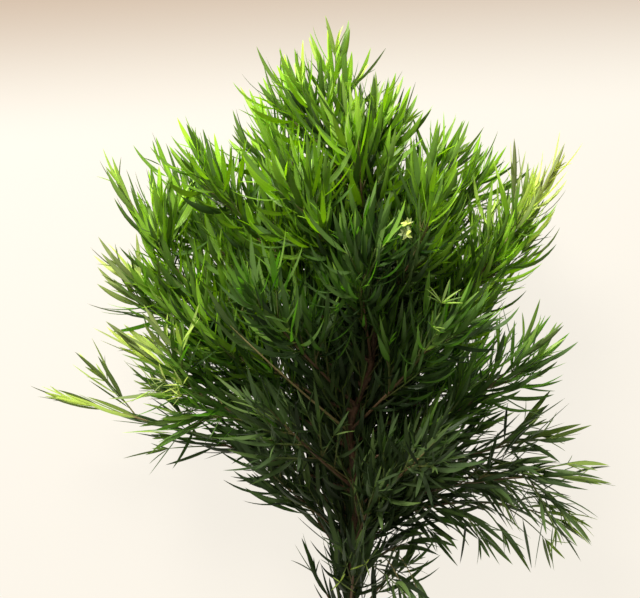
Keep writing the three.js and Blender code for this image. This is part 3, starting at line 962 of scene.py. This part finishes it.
def age_of(branch, place, along_twig):
    """Up to AGE_SHARE for a common leaf, younger towards its twig's end, and up to 1 for a pale one."""
    root, _, end = branch.arc
    reach = np.linalg.norm(place - root) / np.linalg.norm(end - root)
    fresh = np.clip((reach - FRESH_FROM[0]) / (FRESH_FROM[1] - FRESH_FROM[0]), 0, 1)
    fresh *= FRESH.get(branch.name, 0)
    return AGE_SHARE * along_twig * (1 - fresh) + fresh


def tuft(twig, count, sizes, spreads, width, age):
    """Small new leaves close round the end of a twig."""
    looks = np.random.default_rng(twig.seed + TUFT_LOOKS)
    root, along = twig.arc[2], arc_way(twig.arc, 1)
    found = []
    for i in range(count):
        out = outwards(along, i * SPIRAL_TURN + looks.random())
        spread = between(spreads, looks.random())
        size = LEAF_LENGTH * between(sizes, looks.random())
        way, back = turned(along, out, spread), turned(out, -along, spread)
        arc = np.array([root, root + way * size / 2, root + unit(way + out * TUFT_ARCH) * size])
        arc, back = rest_on_floor(arc, back, 0.0)
        found.append(Leaf(arc, back, size / LEAF_LENGTH * width, age, looks.random()))
    return found


def bud_leaves(twig, branch):
    """The small new leaves that close the end of a twig."""
    return tuft(twig, BUD_LEAVES, BUD_SIZE, BUD_SPREAD, BUD_WIDTH, age_of(branch, twig.arc[2], 1.0))


def rest_on_floor(arc, back, roll):
    """Lays a leaf that would pass under the floor flat on it, and rolls any other about its length."""
    along = arc_way(arc, LEAF_WIDEST)
    across = unit(np.cross(along, back))
    low = arc_point(arc, LEAF_WIDEST)[2] - abs(across[2]) * LEAF_HALF_WIDTH
    lowest = min(low - LEAF_KEEL * max(0, -back[2]), arc[2][2])
    if lowest < 0:
        return arc, UP
    if arc[:, 2].max() > TOP_REACH:
        arc = arc * (1, 1, 0) + np.minimum(arc, TOP_REACH) * (0, 0, 1)
    return arc, turned(back, across, roll)


leaves = {}
for branch in branches:
    leaves[branch.name] = [
        leaf for twig in branch.twigs for leaf in leaves_on(twig, branch) + bud_leaves(twig, branch)
    ]
leaves[inner.name] = [leaf for twig in inner.twigs for leaf in leaves_on(twig, inner)]
print(sum(len(found) for found in leaves.values()), "leaves")

# %% [markdown]
# ## Tufts of new growth
#
# Here and there a very short twig ends in a star of small leaves, paler than all round it. They are
# placed one by one, where the picture shows them.

# %% Tufts of pale new leaves
# branch, where along its main twig the tuft's own twig leaves, the tuft's place, how many leaves it
# has, their length over a common leaf's, their angle to the twig, their width and their age
TUFTS = [
    ("front_mid_right", 0.66, (84, 380, 192), 9, (0.30, 0.44), (8, 62), 1.1, 0.83),
    ("front_mid_right", 0.50, (74, 358, 190), 6, (0.24, 0.34), (8, 50), 1.1, 0.82),
    ("front_right", 0.62, (50, 444, 208), 14, (0.07, 0.14), (10, 120), 4.5, 0.97),
    ("front_right", 0.58, (52, 454, 210), 11, (0.07, 0.13), (10, 120), 4.5, 0.95),
    ("left_mid", 0.52, (-164, 300, 128), 9, (0.22, 0.40), (6, 70), 1.2, 0.95),
    ("left_mid", 0.46, (-166, 289, 126), 9, (0.20, 0.36), (6, 70), 1.2, 0.97),
    ("left_mid", 0.60, (-180, 304, 132), 8, (0.20, 0.36), (6, 80), 1.2, 0.94),
    ("neck_front", 0.06, (-10, 100, 84), 4, (0.20, 0.34), (20, 100), 1.1, 0.97),
    ("neck_front", 0.02, (16, 118, 84), 3, (0.20, 0.34), (30, 100), 1.1, 0.97),
]
TUFT_BOW = 3.0
TUFT_TIP = 0.8  # the end of a tuft's twig over its root
TUFT_SEEDS = 41000

for number, (name, share, place, count, sizes, angles, width, age) in enumerate(TUFTS):
    branch = branch_called(name)
    arc = bow_arc(arc_point(branch.twigs[0].arc, share), np.array(place, float), TUFT_BOW)
    twig = Twig(arc, SHORT_TIP_RADIUS, SHORT_TIP_RADIUS * TUFT_TIP, TUFT_SEEDS + number, "tuft")
    branch.twigs.append(twig)
    leaves[name] += tuft(twig, count, sizes, np.radians(angles), width, age)
print(len(TUFTS), "tufts")


# %% Bend the copies
def bend_copies(shape, arcs, backs, wide, thick):
    """Copies of a shape, each bent along its own arc. wide and thick scale its section at each of its
    corners, and no corner goes under the floor."""
    t = shape.points[None, :, 2, None]
    first, middle, last = (arcs[:, None, i] for i in range(3))
    places = (1 - t) ** 2 * first + 2 * (1 - t) * t * middle + t * t * last
    places[..., 2] = np.maximum(places[..., 2], 0)
    along = unit((1 - t) * (middle - first) + t * (last - middle))
    across = unit(np.cross(along, backs[:, None]))
    face = np.cross(across, along)
    x, y = shape.points[:, 0] * wide, shape.points[:, 1] * thick
    places = places + across * x[..., None] + face * y[..., None]
    places[..., 2] = np.maximum(places[..., 2], 0)
    return in_frame(places)


straight_arc = np.array([[(0, 0, 9), (0, 30, 9), (0, 60, 9)]], float)
one_leaf = bend_copies(LEAF, straight_arc, UP[None], 1.0, 1.0)
print("A leaf laid along 60 mm is", round(np.ptp(one_leaf[..., 0]) / MM, 1), "mm wide")

# %% [markdown]
# ## Leaf and twig finishes
#
# The colour of a leaf tells its age. Old leaves, low on a twig and deep in the plant, are a dark
# bluish green, and young ones at the ends are yellow green and paler. A leaf is a little lighter along
# its midrib and at its pale stalk, duller and greyer underneath, and has a satin gloss above. Light
# from behind goes through it as a warm yellow green, which is what makes the top of the plant glow.
#
# Each leaf carries its age, a random number of its own and which side is its underside as an
# attribute, and a place across and along it as its UV map. One node group turns these into colour and
# height, and three leaf materials use it with their own greens: light for the top branches, middle
# and dark for the lower ones. These greens are partly painted light and shade: a branch gets its
# material by how far along Y it ends, so the top branches, where the key light falls, have lighter
# greens and a brighter glow through them, and the lower ones, shaded by the leaves above, darker
# greens and a dimmer glow, on top of the real change with age.


# %% Leaf pattern group
def new_group(name, inputs, outputs):
    """A shader node group with named inputs and outputs."""
    group = bpy.data.node_groups.new(name, "ShaderNodeTree")
    for socket, kind in inputs:
        group.interface.new_socket(socket, in_out="INPUT", socket_type=kind)
    for socket, kind in outputs:
        group.interface.new_socket(socket, in_out="OUTPUT", socket_type=kind)
    return group, group.nodes.new("NodeGroupInput"), group.nodes.new("NodeGroupOutput")


COLOUR, NUMBER, VECTOR = "NodeSocketColor", "NodeSocketFloat", "NodeSocketVector"
GLOW_PLAY = (0.38, 1.5)  # of the light that goes through one leaf and another


def leaf_pattern():
    group, given, made = new_group(
        "leaf_pattern",
        [("Growth", COLOUR), ("Place", VECTOR), ("Old", COLOUR), ("Young", COLOUR), ("New", COLOUR),
         ("Through", COLOUR)],
        [("Colour", COLOUR), ("Glow", COLOUR), ("Roughness", NUMBER), ("Height", NUMBER)],
    )
    links = group.links
    growth = group.nodes.new("ShaderNodeSeparateColor")
    links.new(given.outputs["Growth"], growth.inputs[0])
    young, chance, under = growth.outputs
    place = group.nodes.new("ShaderNodeSeparateXYZ")
    links.new(given.outputs["Place"], place.inputs[0])
    from_middle = math_node(group, "ABSOLUTE", math_node(group, "SUBTRACT", place.outputs["X"], 0.5))
    midrib = range_node(group, from_middle, 0.03, 0.10, 1.0, 0.0)
    stalk = range_node(group, place.outputs["Y"], 0.03, 0.14, 1.0, 0.0)
    underside = range_node(group, under, 0.49, 0.51)

    grown_share = range_node(group, young, 0.0, 0.8)
    new_share = range_node(group, young, 0.72, 1.0)
    grown = mix_colour(group, grown_share, given.outputs["Old"], given.outputs["Young"])
    base = mix_colour(group, new_share, grown, given.outputs["New"])
    tone = group.nodes.new("ShaderNodeHueSaturation")
    links.new(base, tone.inputs["Color"])
    links.new(range_node(group, chance, 0.0, 1.0, 0.515, 0.478), tone.inputs["Hue"])
    links.new(range_node(group, chance, 0.0, 1.0, 0.62, 1.36), tone.inputs["Value"])
    lighter = mix_colour(group, 1.0, tone.outputs["Color"], (1.55, 1.5, 1.6, 1.0), "MULTIPLY")
    ribbed = mix_colour(group, math_node(group, "MULTIPLY", midrib, 0.55), tone.outputs["Color"], lighter)
    stalked = mix_colour(group, math_node(group, "MULTIPLY", stalk, 0.6), ribbed, srgb(150, 165, 80))
    grey = mix_colour(group, 0.35, stalked, srgb(110, 128, 92))
    colour = mix_colour(group, underside, stalked, grey)
    links.new(colour, made.inputs["Colour"])

    through = group.nodes.new("ShaderNodeHueSaturation")
    thin = mix_colour(group, new_share, given.outputs["Through"], given.outputs["New"])
    links.new(thin, through.inputs["Color"])
    glow = math_node(group, "MULTIPLY", range_node(group, young, 0.0, 0.8, 0.62, 1.15),
                     range_node(group, chance, 0.0, 1.0, *GLOW_PLAY))
    links.new(glow, through.inputs["Value"])
    links.new(through.outputs["Color"], made.inputs["Glow"])

    veins = noise_node(group, scaled(group, given.outputs["Place"], (38, 1.3, 1)), 1.0, 3.0, 0.6)
    links.new(range_node(group, veins, 0.3, 0.7, 0.30, 0.46), made.inputs["Roughness"])
    groove = math_node(group, "MULTIPLY", midrib, -1.0)
    relief = math_node(group, "MULTIPLY", veins, 0.35)
    links.new(math_node(group, "ADD", groove, relief), made.inputs["Height"])
    return group


LEAF_PATTERN = leaf_pattern()
print("The leaf pattern has", len(LEAF_PATTERN.nodes), "nodes")

# %% Leaf materials
LEAF_BUMP = 0.12  # in millimetres, as the next
TWIG_BUMP = 0.2
GREEN_BUMP_STRENGTH = 0.5
LEAF_IOR = 1.36
TWIG_ROUGHNESS = 0.55
THROUGH_SHARE = 0.42  # of the light goes through a leaf
# from old leaves to new ones, and the light that comes through. The lighter greens and brighter glow
# of leaf_light and the duller ones of leaf_dark are partly painted light and shade, set by height
LEAF_GREENS = {
    "leaf_light": ((56, 106, 18), (140, 188, 38), (232, 240, 160), (206, 242, 6)),
    "leaf_mid": ((42, 80, 24), (108, 150, 46), (216, 230, 134), (152, 206, 20)),
    "leaf_dark": ((40, 60, 31), (88, 120, 54), (190, 212, 104), (100, 138, 44)),
}


def growth_and_place(tree):
    """What every corner of a leafy branch carries: its growth, and its place on its leaf or twig."""
    growth = tree.nodes.new("ShaderNodeVertexColor")
    growth.layer_name = "growth"
    place = tree.nodes.new("ShaderNodeUVMap")
    place.uv_map = "leaf"
    return growth.outputs["Color"], place.outputs["UV"]


def leaf_material(name, greens):
    material, nodes, links, output = new_material(name)
    tree = material.node_tree
    pattern = nodes.new("ShaderNodeGroup")
    pattern.node_tree = LEAF_PATTERN
    growth, place = growth_and_place(tree)
    links.new(growth, pattern.inputs["Growth"])
    links.new(place, pattern.inputs["Place"])
    for socket, green in zip(("Old", "Young", "New", "Through"), greens):
        pattern.inputs[socket].default_value = srgb(*green)
    face = nodes.new("ShaderNodeBsdfPrincipled")
    face.inputs["IOR"].default_value = LEAF_IOR
    links.new(pattern.outputs["Colour"], face.inputs["Base Color"])
    links.new(pattern.outputs["Roughness"], face.inputs["Roughness"])
    bump = bump_of(tree, pattern.outputs["Height"], LEAF_BUMP, GREEN_BUMP_STRENGTH)
    links.new(bump, face.inputs["Normal"])
    through_light = nodes.new("ShaderNodeBsdfTranslucent")
    links.new(pattern.outputs["Glow"], through_light.inputs["Color"])
    mix = nodes.new("ShaderNodeMixShader")
    mix.inputs[0].default_value = THROUGH_SHARE
    links.new(face.outputs[0], mix.inputs[1])
    links.new(through_light.outputs[0], mix.inputs[2])
    links.new(mix.outputs[0], output.inputs["Surface"])
    return material


def twig_material():
    material, nodes, links, output = new_material("young_bark")
    tree = material.node_tree
    growth, place = growth_and_place(tree)
    split = nodes.new("ShaderNodeSeparateColor")
    links.new(growth, split.inputs[0])
    streaks = noise_node(tree, scaled(tree, place, (6, 40, 1)), 1.0, 4.0, 0.6)
    greening = range_node(tree, split.outputs["Red"], 0.25, 0.85)
    common = mix_colour(tree, greening, srgb(146, 116, 82), srgb(112, 136, 60))
    colour = mix_colour(tree, split.outputs["Green"], common, srgb(218, 200, 132))
    darker = mix_colour(tree, 1.0, colour, (0.6, 0.6, 0.6, 1.0), "MULTIPLY")
    streaked = mix_colour(tree, range_node(tree, streaks, 0.35, 0.65), darker, colour)
    face = nodes.new("ShaderNodeBsdfPrincipled")
    links.new(streaked, face.inputs["Base Color"])
    face.inputs["Roughness"].default_value = TWIG_ROUGHNESS
    links.new(bump_of(tree, streaks, TWIG_BUMP, GREEN_BUMP_STRENGTH), face.inputs["Normal"])
    links.new(face.outputs[0], output.inputs["Surface"])
    return material


LEAF_MATERIALS = {name: leaf_material(name, greens) for name, greens in LEAF_GREENS.items()}
YOUNG_BARK = twig_material()
print(len(LEAF_MATERIALS), "leaf materials and one for the twigs")

# %% [markdown]
# ## Leafy branches
#
# Each leafy branch is one piece: its twigs, modelled once as a thin rod and bent along each twig, and
# its leaves. The solids in the frame are hidden by it, branch for branch.

# %% Build every leafy branch
TWIG_SIDES = 6
TWIG_RINGS = 8
TWIG_END = 0.5  # the very end's radius over the tip's, so that it is blunt and not flat
MAIN_OVERLAP = 0.01  # how far, over its length, a main twig runs back into its stub
TOP_GREEN_FROM = 470  # branches that end further along Y have the lightest leaves, partly painted light where the key light falls
MIDDLE_GREEN_FROM = 300  # and from here on the middle ones
TAN_SHARE = 0.9  # how tan a bare twig is
LEAF_SMOOTH_ANGLE = math.radians(75)
# from brown at 0 to green at 1, at each kind of twig's root and tip
TWIG_AGES = {"main": (0, 0.6), "side": (0.5, 0.9), "short": (0.5, 0.9), "bare": (0, 0.75), "tuft": (0.8, 1)}

rod = add_rod("twig", TWIG_SIDES, [i / TWIG_RINGS for i in range(1, TWIG_RINGS)])
bpy.ops.object.mode_set(mode="OBJECT")
TWIG = read_shape(rod, 1.0)


def bent_twig(twig):
    arc = arc_part(twig.arc, -MAIN_OVERLAP, 1) if twig.kind == "main" else twig.arc
    radius = between((twig.radius, twig.tip_radius), TWIG.points[None, :, 2])
    radius = radius * np.where(TWIG.points[:, 2] > 1 - NEAR, TWIG_END, 1)
    return bend_copies(TWIG, arc[None], UP[None], radius, radius)


def bent_leaves(found):
    arcs = np.array([leaf.arc for leaf in found])
    backs = np.array([leaf.back for leaf in found])
    widths = np.array([leaf.width for leaf in found])[:, None]
    return bend_copies(LEAF, arcs, backs, widths, 1.0)


def copied_faces(shape, copies, first):
    return [[first + copy * len(shape.points) + corner for corner in face]
            for copy in range(copies) for face in shape.faces]


# painted light and shade in part: the material goes by how far along Y a branch ends, lighter greens high
# up under the key light and darker ones low down in the shade of the leaves above
def slot_of(branch):
    end_y = 0 if branch is inner else branch.arc[2][1]
    if end_y > TOP_GREEN_FROM:
        return "leaf_light"
    return "leaf_mid" if end_y > MIDDLE_GREEN_FROM else "leaf_dark"


def build_leafy_branch(branch):
    """One piece with the twigs and leaves of a branch, which replaces the branch's solid."""
    found = leaves[branch.name]
    twigs = np.concatenate([bent_twig(twig) for twig in branch.twigs])
    blades = bent_leaves(found)
    points = np.concatenate([twigs.reshape(-1, 3), blades.reshape(-1, 3)])
    split = twigs.size // 3  # the twigs' corners come first, and then the leaves'
    twig_faces = copied_faces(TWIG, len(twigs), 0)
    leaf_faces = copied_faces(LEAF, len(found), split)
    mesh = bpy.data.meshes.new("foliage_" + branch.name)
    mesh.from_pydata(points.tolist(), [], twig_faces + leaf_faces)

    pattern = np.concatenate([
        np.tile(TWIG.pattern, (len(twigs), 1)), np.tile(LEAF.pattern, (len(found), 1)),
    ])
    corners = np.empty(len(mesh.loops), int)
    mesh.loops.foreach_get("vertex_index", corners)
    uv = mesh.uv_layers.new(name="leaf")
    uv.data.foreach_set("uv", pattern[corners].ravel())

    growth = np.ones((len(points), 4))
    ages = [between(TWIG_AGES[twig.kind], TWIG.points[:, 2]) for twig in branch.twigs]
    tans = [TAN_SHARE * (twig.kind == "bare") for twig in branch.twigs]
    growth[:split, 0] = np.concatenate(ages)
    growth[:split, 1] = np.repeat(tans, len(TWIG.points))
    growth[split:, 0] = np.repeat([leaf.young for leaf in found], len(LEAF.points))
    growth[split:, 1] = np.repeat([leaf.chance for leaf in found], len(LEAF.points))
    growth[split:, 2] = np.tile(LEAF.under, len(found))
    layer = mesh.color_attributes.new("growth", "FLOAT_COLOR", "POINT")
    layer.data.foreach_set("color", growth.ravel())

    mesh.materials.append(LEAF_MATERIALS[slot_of(branch)])
    mesh.materials.append(YOUNG_BARK)
    mesh.polygons.foreach_set("material_index", [1] * len(twig_faces) + [0] * len(leaf_faces))
    piece = bpy.data.objects.new("foliage_" + branch.name, mesh)
    bpy.context.scene.collection.objects.link(piece)
    bpy.context.view_layer.objects.active = piece
    piece.select_set(True)
    bpy.ops.object.shade_smooth_by_angle(angle=LEAF_SMOOTH_ANGLE)
    piece.select_set(False)
    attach(piece, "root")
    slot_of(branch)
    if branch is not inner:
        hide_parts("leafy_branch_" + branch.name)
    return len(mesh.polygons)


print(sum(build_leafy_branch(branch) for branch in [*branches, inner]), "faces in the leafy branches")

# %% [markdown]
# ## The woody stem
#
# The stem is the only old wood: a tapering rod, a little thicker than a pencil at the cut and than a
# match at the top. It swells a little where each side branch leaves it, and every branch starts from
# it as a short woody stub with a collar round its root.
#
# Rods that only run into each other would show a sharp line where they meet. So the rods are joined
# into one mesh, and a voxel remesh, as one does with clay, turns them into a single skin, which is then
# smoothed and roughened a little. It is cut off square at its lower end only after that, so that the
# cut keeps its sharp rim.

# %% Bend the rods of the stem
STEM_SIDES = 14
STEM_RINGS = 84
STEM_START = -0.004  # the rod starts a little before the cut
FORK_SWELL = 0.24
FORK_REACH = 0.007  # how far along the stem a fork's swelling reaches
STUB_SIDES = 8
STUB_RINGS = 6
COLLAR = 0.7  # how much thicker a stub is at its root
COLLAR_REACH = 0.22
WAY_STEP = 0.002  # along a rod, to each side of a ring, to find which way it faces


def bend_rod(name, point_at, radius_at, sides, rings):
    rod = add_rod(name, sides, [i / rings for i in range(1, rings)])
    bpy.ops.object.mode_set(mode="OBJECT")
    for vertex in rod.data.vertices:
        t = vertex.co.z
        along = unit(point_at(t + WAY_STEP) - point_at(t - WAY_STEP))
        across = unit(np.cross(along, UP))
        out = across * vertex.co.x + np.cross(across, along) * vertex.co.y
        vertex.co = in_frame(point_at(t) + out * radius_at(t))
    return rod


fork_shares = np.array([stem_share_at(y) for y, *_ in BRANCHES.values()])


def stem_share_on_rod(t):
    return STEM_START + (1 - STEM_START) * t


def swollen_radius(t):
    share = stem_share_on_rod(t)
    swell = np.exp(-(((fork_shares - share) / FORK_REACH) ** 2)).max()
    return stem_radius(share) * (1 + FORK_SWELL * swell)


def stub_rod(branch):
    last = WOOD_SHARE + MAIN_OVERLAP

    def radius_at(t):
        collar = COLLAR * math.exp(-((t / COLLAR_REACH) ** 2))
        return branch.radius * (1 + (STUB_TAPER - 1) * t) * (1 + collar)

    return bend_rod("stub", lambda t: arc_point(branch.arc, t * last), radius_at, STUB_SIDES, STUB_RINGS)


stem_rod = bend_rod(
    "stem_wood", lambda t: stem_point(stem_share_on_rod(t)), swollen_radius, STEM_SIDES, STEM_RINGS,
)
stubs = [stub_rod(branch) for branch in branches]
print("The stem and", len(stubs), "stubs are bent")

# %% Join them into one skin
VOXEL = 0.7 * MM
WOOD_NOISE = 0.45 * MM
LUMP_SIZE = 3.2 * MM

bpy.ops.object.select_all(action="DESELECT")
for rod in [*stubs, stem_rod]:
    rod.select_set(True)
bpy.context.view_layer.objects.active = stem_rod
bpy.ops.object.join()
wood = bpy.context.object


def apply_modifier(piece, kind, **values):
    modifier = piece.modifiers.new(kind.lower(), kind)
    for name, value in values.items():
        setattr(modifier, name, value)
    bpy.ops.object.modifier_apply(modifier=modifier.name)


lumps = bpy.data.textures.new("lumps", "CLOUDS")
lumps.noise_scale = LUMP_SIZE
lumps.noise_depth = 2
apply_modifier(wood, "REMESH", mode="VOXEL", voxel_size=VOXEL)
apply_modifier(wood, "SMOOTH", factor=0.5, iterations=5)
apply_modifier(wood, "DISPLACE", texture=lumps, texture_coords="LOCAL", strength=WOOD_NOISE, mid_level=0.5)
print("The wood's skin has", len(wood.data.polygons), "faces")

# %% Cut its lower end
BARK_RING = 0.7 * MM
CUT_DEPTH = 0.1 * MM  # a face of the cut lies no further in


def select_faces(test):
    """In edit mode, selects the faces whose middle and normal pass a test."""
    bpy.ops.mesh.select_mode(type="FACE")
    bpy.ops.mesh.select_all(action="DESELECT")
    mesh = bpy.context.object.data
    edited = bmesh.from_edit_mesh(mesh)
    for face in edited.faces:
        face.select = test(face.calc_center_median(), face.normal)
    bmesh.update_edit_mesh(mesh)


def is_cut_face(middle, normal):
    return middle.y < cut_y + CUT_DEPTH and normal.y < -0.9


bpy.ops.object.mode_set(mode="EDIT")
bpy.ops.mesh.select_all(action="SELECT")
bpy.ops.mesh.bisect(plane_co=(0, cut_y, 0), plane_no=(0, 1, 0), use_fill=True, clear_inner=True)
select_faces(is_cut_face)
bpy.ops.mesh.inset(thickness=BARK_RING)
cut_faces = [face.index for face in bmesh.from_edit_mesh(wood.data).faces if face.select]
bpy.ops.object.mode_set(mode="OBJECT")
for vertex in wood.data.vertices:
    vertex.co.z = max(vertex.co.z, 0)
print("The cut has", len(cut_faces), "inner face")

# %% [markdown]
# ## Bark and cut wood
#
# Young podocarpus bark is thin and reddish brown, with fine lengthwise streaks and paler flecks, and it
# turns green towards the top, where last year's shoot begins. The cut shows pale wood with a few growth
# rings round a darker pith. Both follow object coordinates, so the streaks run along the stem.

# %% Bark and cut wood materials
BARK_GREEN = in_frame([(0, 330, 0), (0, 540, 0)])[:, 1]
BARK_BUMP = 0.35  # in millimetres, as the next
FIBRE_BUMP = 0.2
WOOD_BUMP_STRENGTH = 0.6
CUT_ROUGHNESS = 0.75
RINGS = 6200.0  # the waves of the growth rings, in radians a metre
RING_PLAY = 0.4 * MM
PITH = (0.4 * MM, 0.9 * MM)  # its radius, where it starts to fade and where it ends
WOOD_SMOOTH_ANGLE = math.radians(50)


def bark_material():
    material, nodes, links, output = new_material("bark")
    tree = material.node_tree
    place = object_place(tree)
    streaks = noise_node(tree, scaled(tree, place, (1.0, 0.12, 1.0)), 950.0, 4.0, 0.62)
    patches = noise_node(tree, place, 110.0, 3.0, 0.55)
    flecks = noise_node(tree, place, 620.0, 2.0, 0.5)
    brown = mix_colour(tree, range_node(tree, streaks, 0.32, 0.68), srgb(72, 54, 40), srgb(142, 112, 84))
    ruddy = mix_colour(tree, range_node(tree, patches, 0.40, 0.66, 0.0, 0.65), brown, srgb(146, 106, 80))
    split = nodes.new("ShaderNodeSeparateXYZ")
    links.new(place, split.inputs[0])
    upper = range_node(tree, split.outputs["Y"], *BARK_GREEN, 0.0, 0.7)
    greener = mix_colour(tree, upper, ruddy, srgb(104, 106, 50))
    flecked = mix_colour(tree, range_node(tree, flecks, 0.66, 0.74, 0.0, 0.6), greener, srgb(176, 156, 124))
    face = nodes.new("ShaderNodeBsdfPrincipled")
    links.new(flecked, face.inputs["Base Color"])
    links.new(range_node(tree, streaks, 0.3, 0.7, 0.82, 0.58), face.inputs["Roughness"])
    links.new(bump_of(tree, streaks, BARK_BUMP, WOOD_BUMP_STRENGTH), face.inputs["Normal"])
    links.new(face.outputs[0], output.inputs["Surface"])
    return material


def cut_wood_material():
    material, nodes, links, output = new_material("cut_wood")
    tree = material.node_tree
    place = object_place(tree)
    from_pith = nodes.new("ShaderNodeVectorMath")
    from_pith.operation = "DISTANCE"
    links.new(place, from_pith.inputs[0])
    from_pith.inputs[1].default_value = cut_middle
    fibres = noise_node(tree, place, 1800.0, 3.0, 0.6)
    play = math_node(tree, "MULTIPLY", fibres, RING_PLAY)
    radius = math_node(tree, "ADD", from_pith.outputs["Value"], play)
    rings = math_node(tree, "SINE", math_node(tree, "MULTIPLY", radius, RINGS))
    ringed = range_node(tree, rings, 0.1, 1.0, 0.0, 0.55)
    pale = mix_colour(tree, ringed, srgb(214, 192, 146), srgb(168, 134, 84))
    grained = mix_colour(tree, range_node(tree, fibres, 0.35, 0.7, 0.0, 0.5), pale, srgb(190, 160, 110))
    pith = range_node(tree, from_pith.outputs["Value"], *PITH, 1.0, 0.0)
    face = nodes.new("ShaderNodeBsdfPrincipled")
    links.new(mix_colour(tree, pith, grained, srgb(104, 74, 44)), face.inputs["Base Color"])
    face.inputs["Roughness"].default_value = CUT_ROUGHNESS
    links.new(bump_of(tree, fibres, FIBRE_BUMP, WOOD_BUMP_STRENGTH), face.inputs["Normal"])
    links.new(face.outputs[0], output.inputs["Surface"])
    return material


wood.data.materials.clear()
wood.data.materials.append(bark_material())
wood.data.materials.append(cut_wood_material())
for face in wood.data.polygons:
    face.material_index = 1 if face.index in cut_faces else 0
bpy.ops.object.shade_smooth_by_angle(angle=WOOD_SMOOTH_ANGLE)
wood.select_set(False)
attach(wood, "root")
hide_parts("woody_stem")
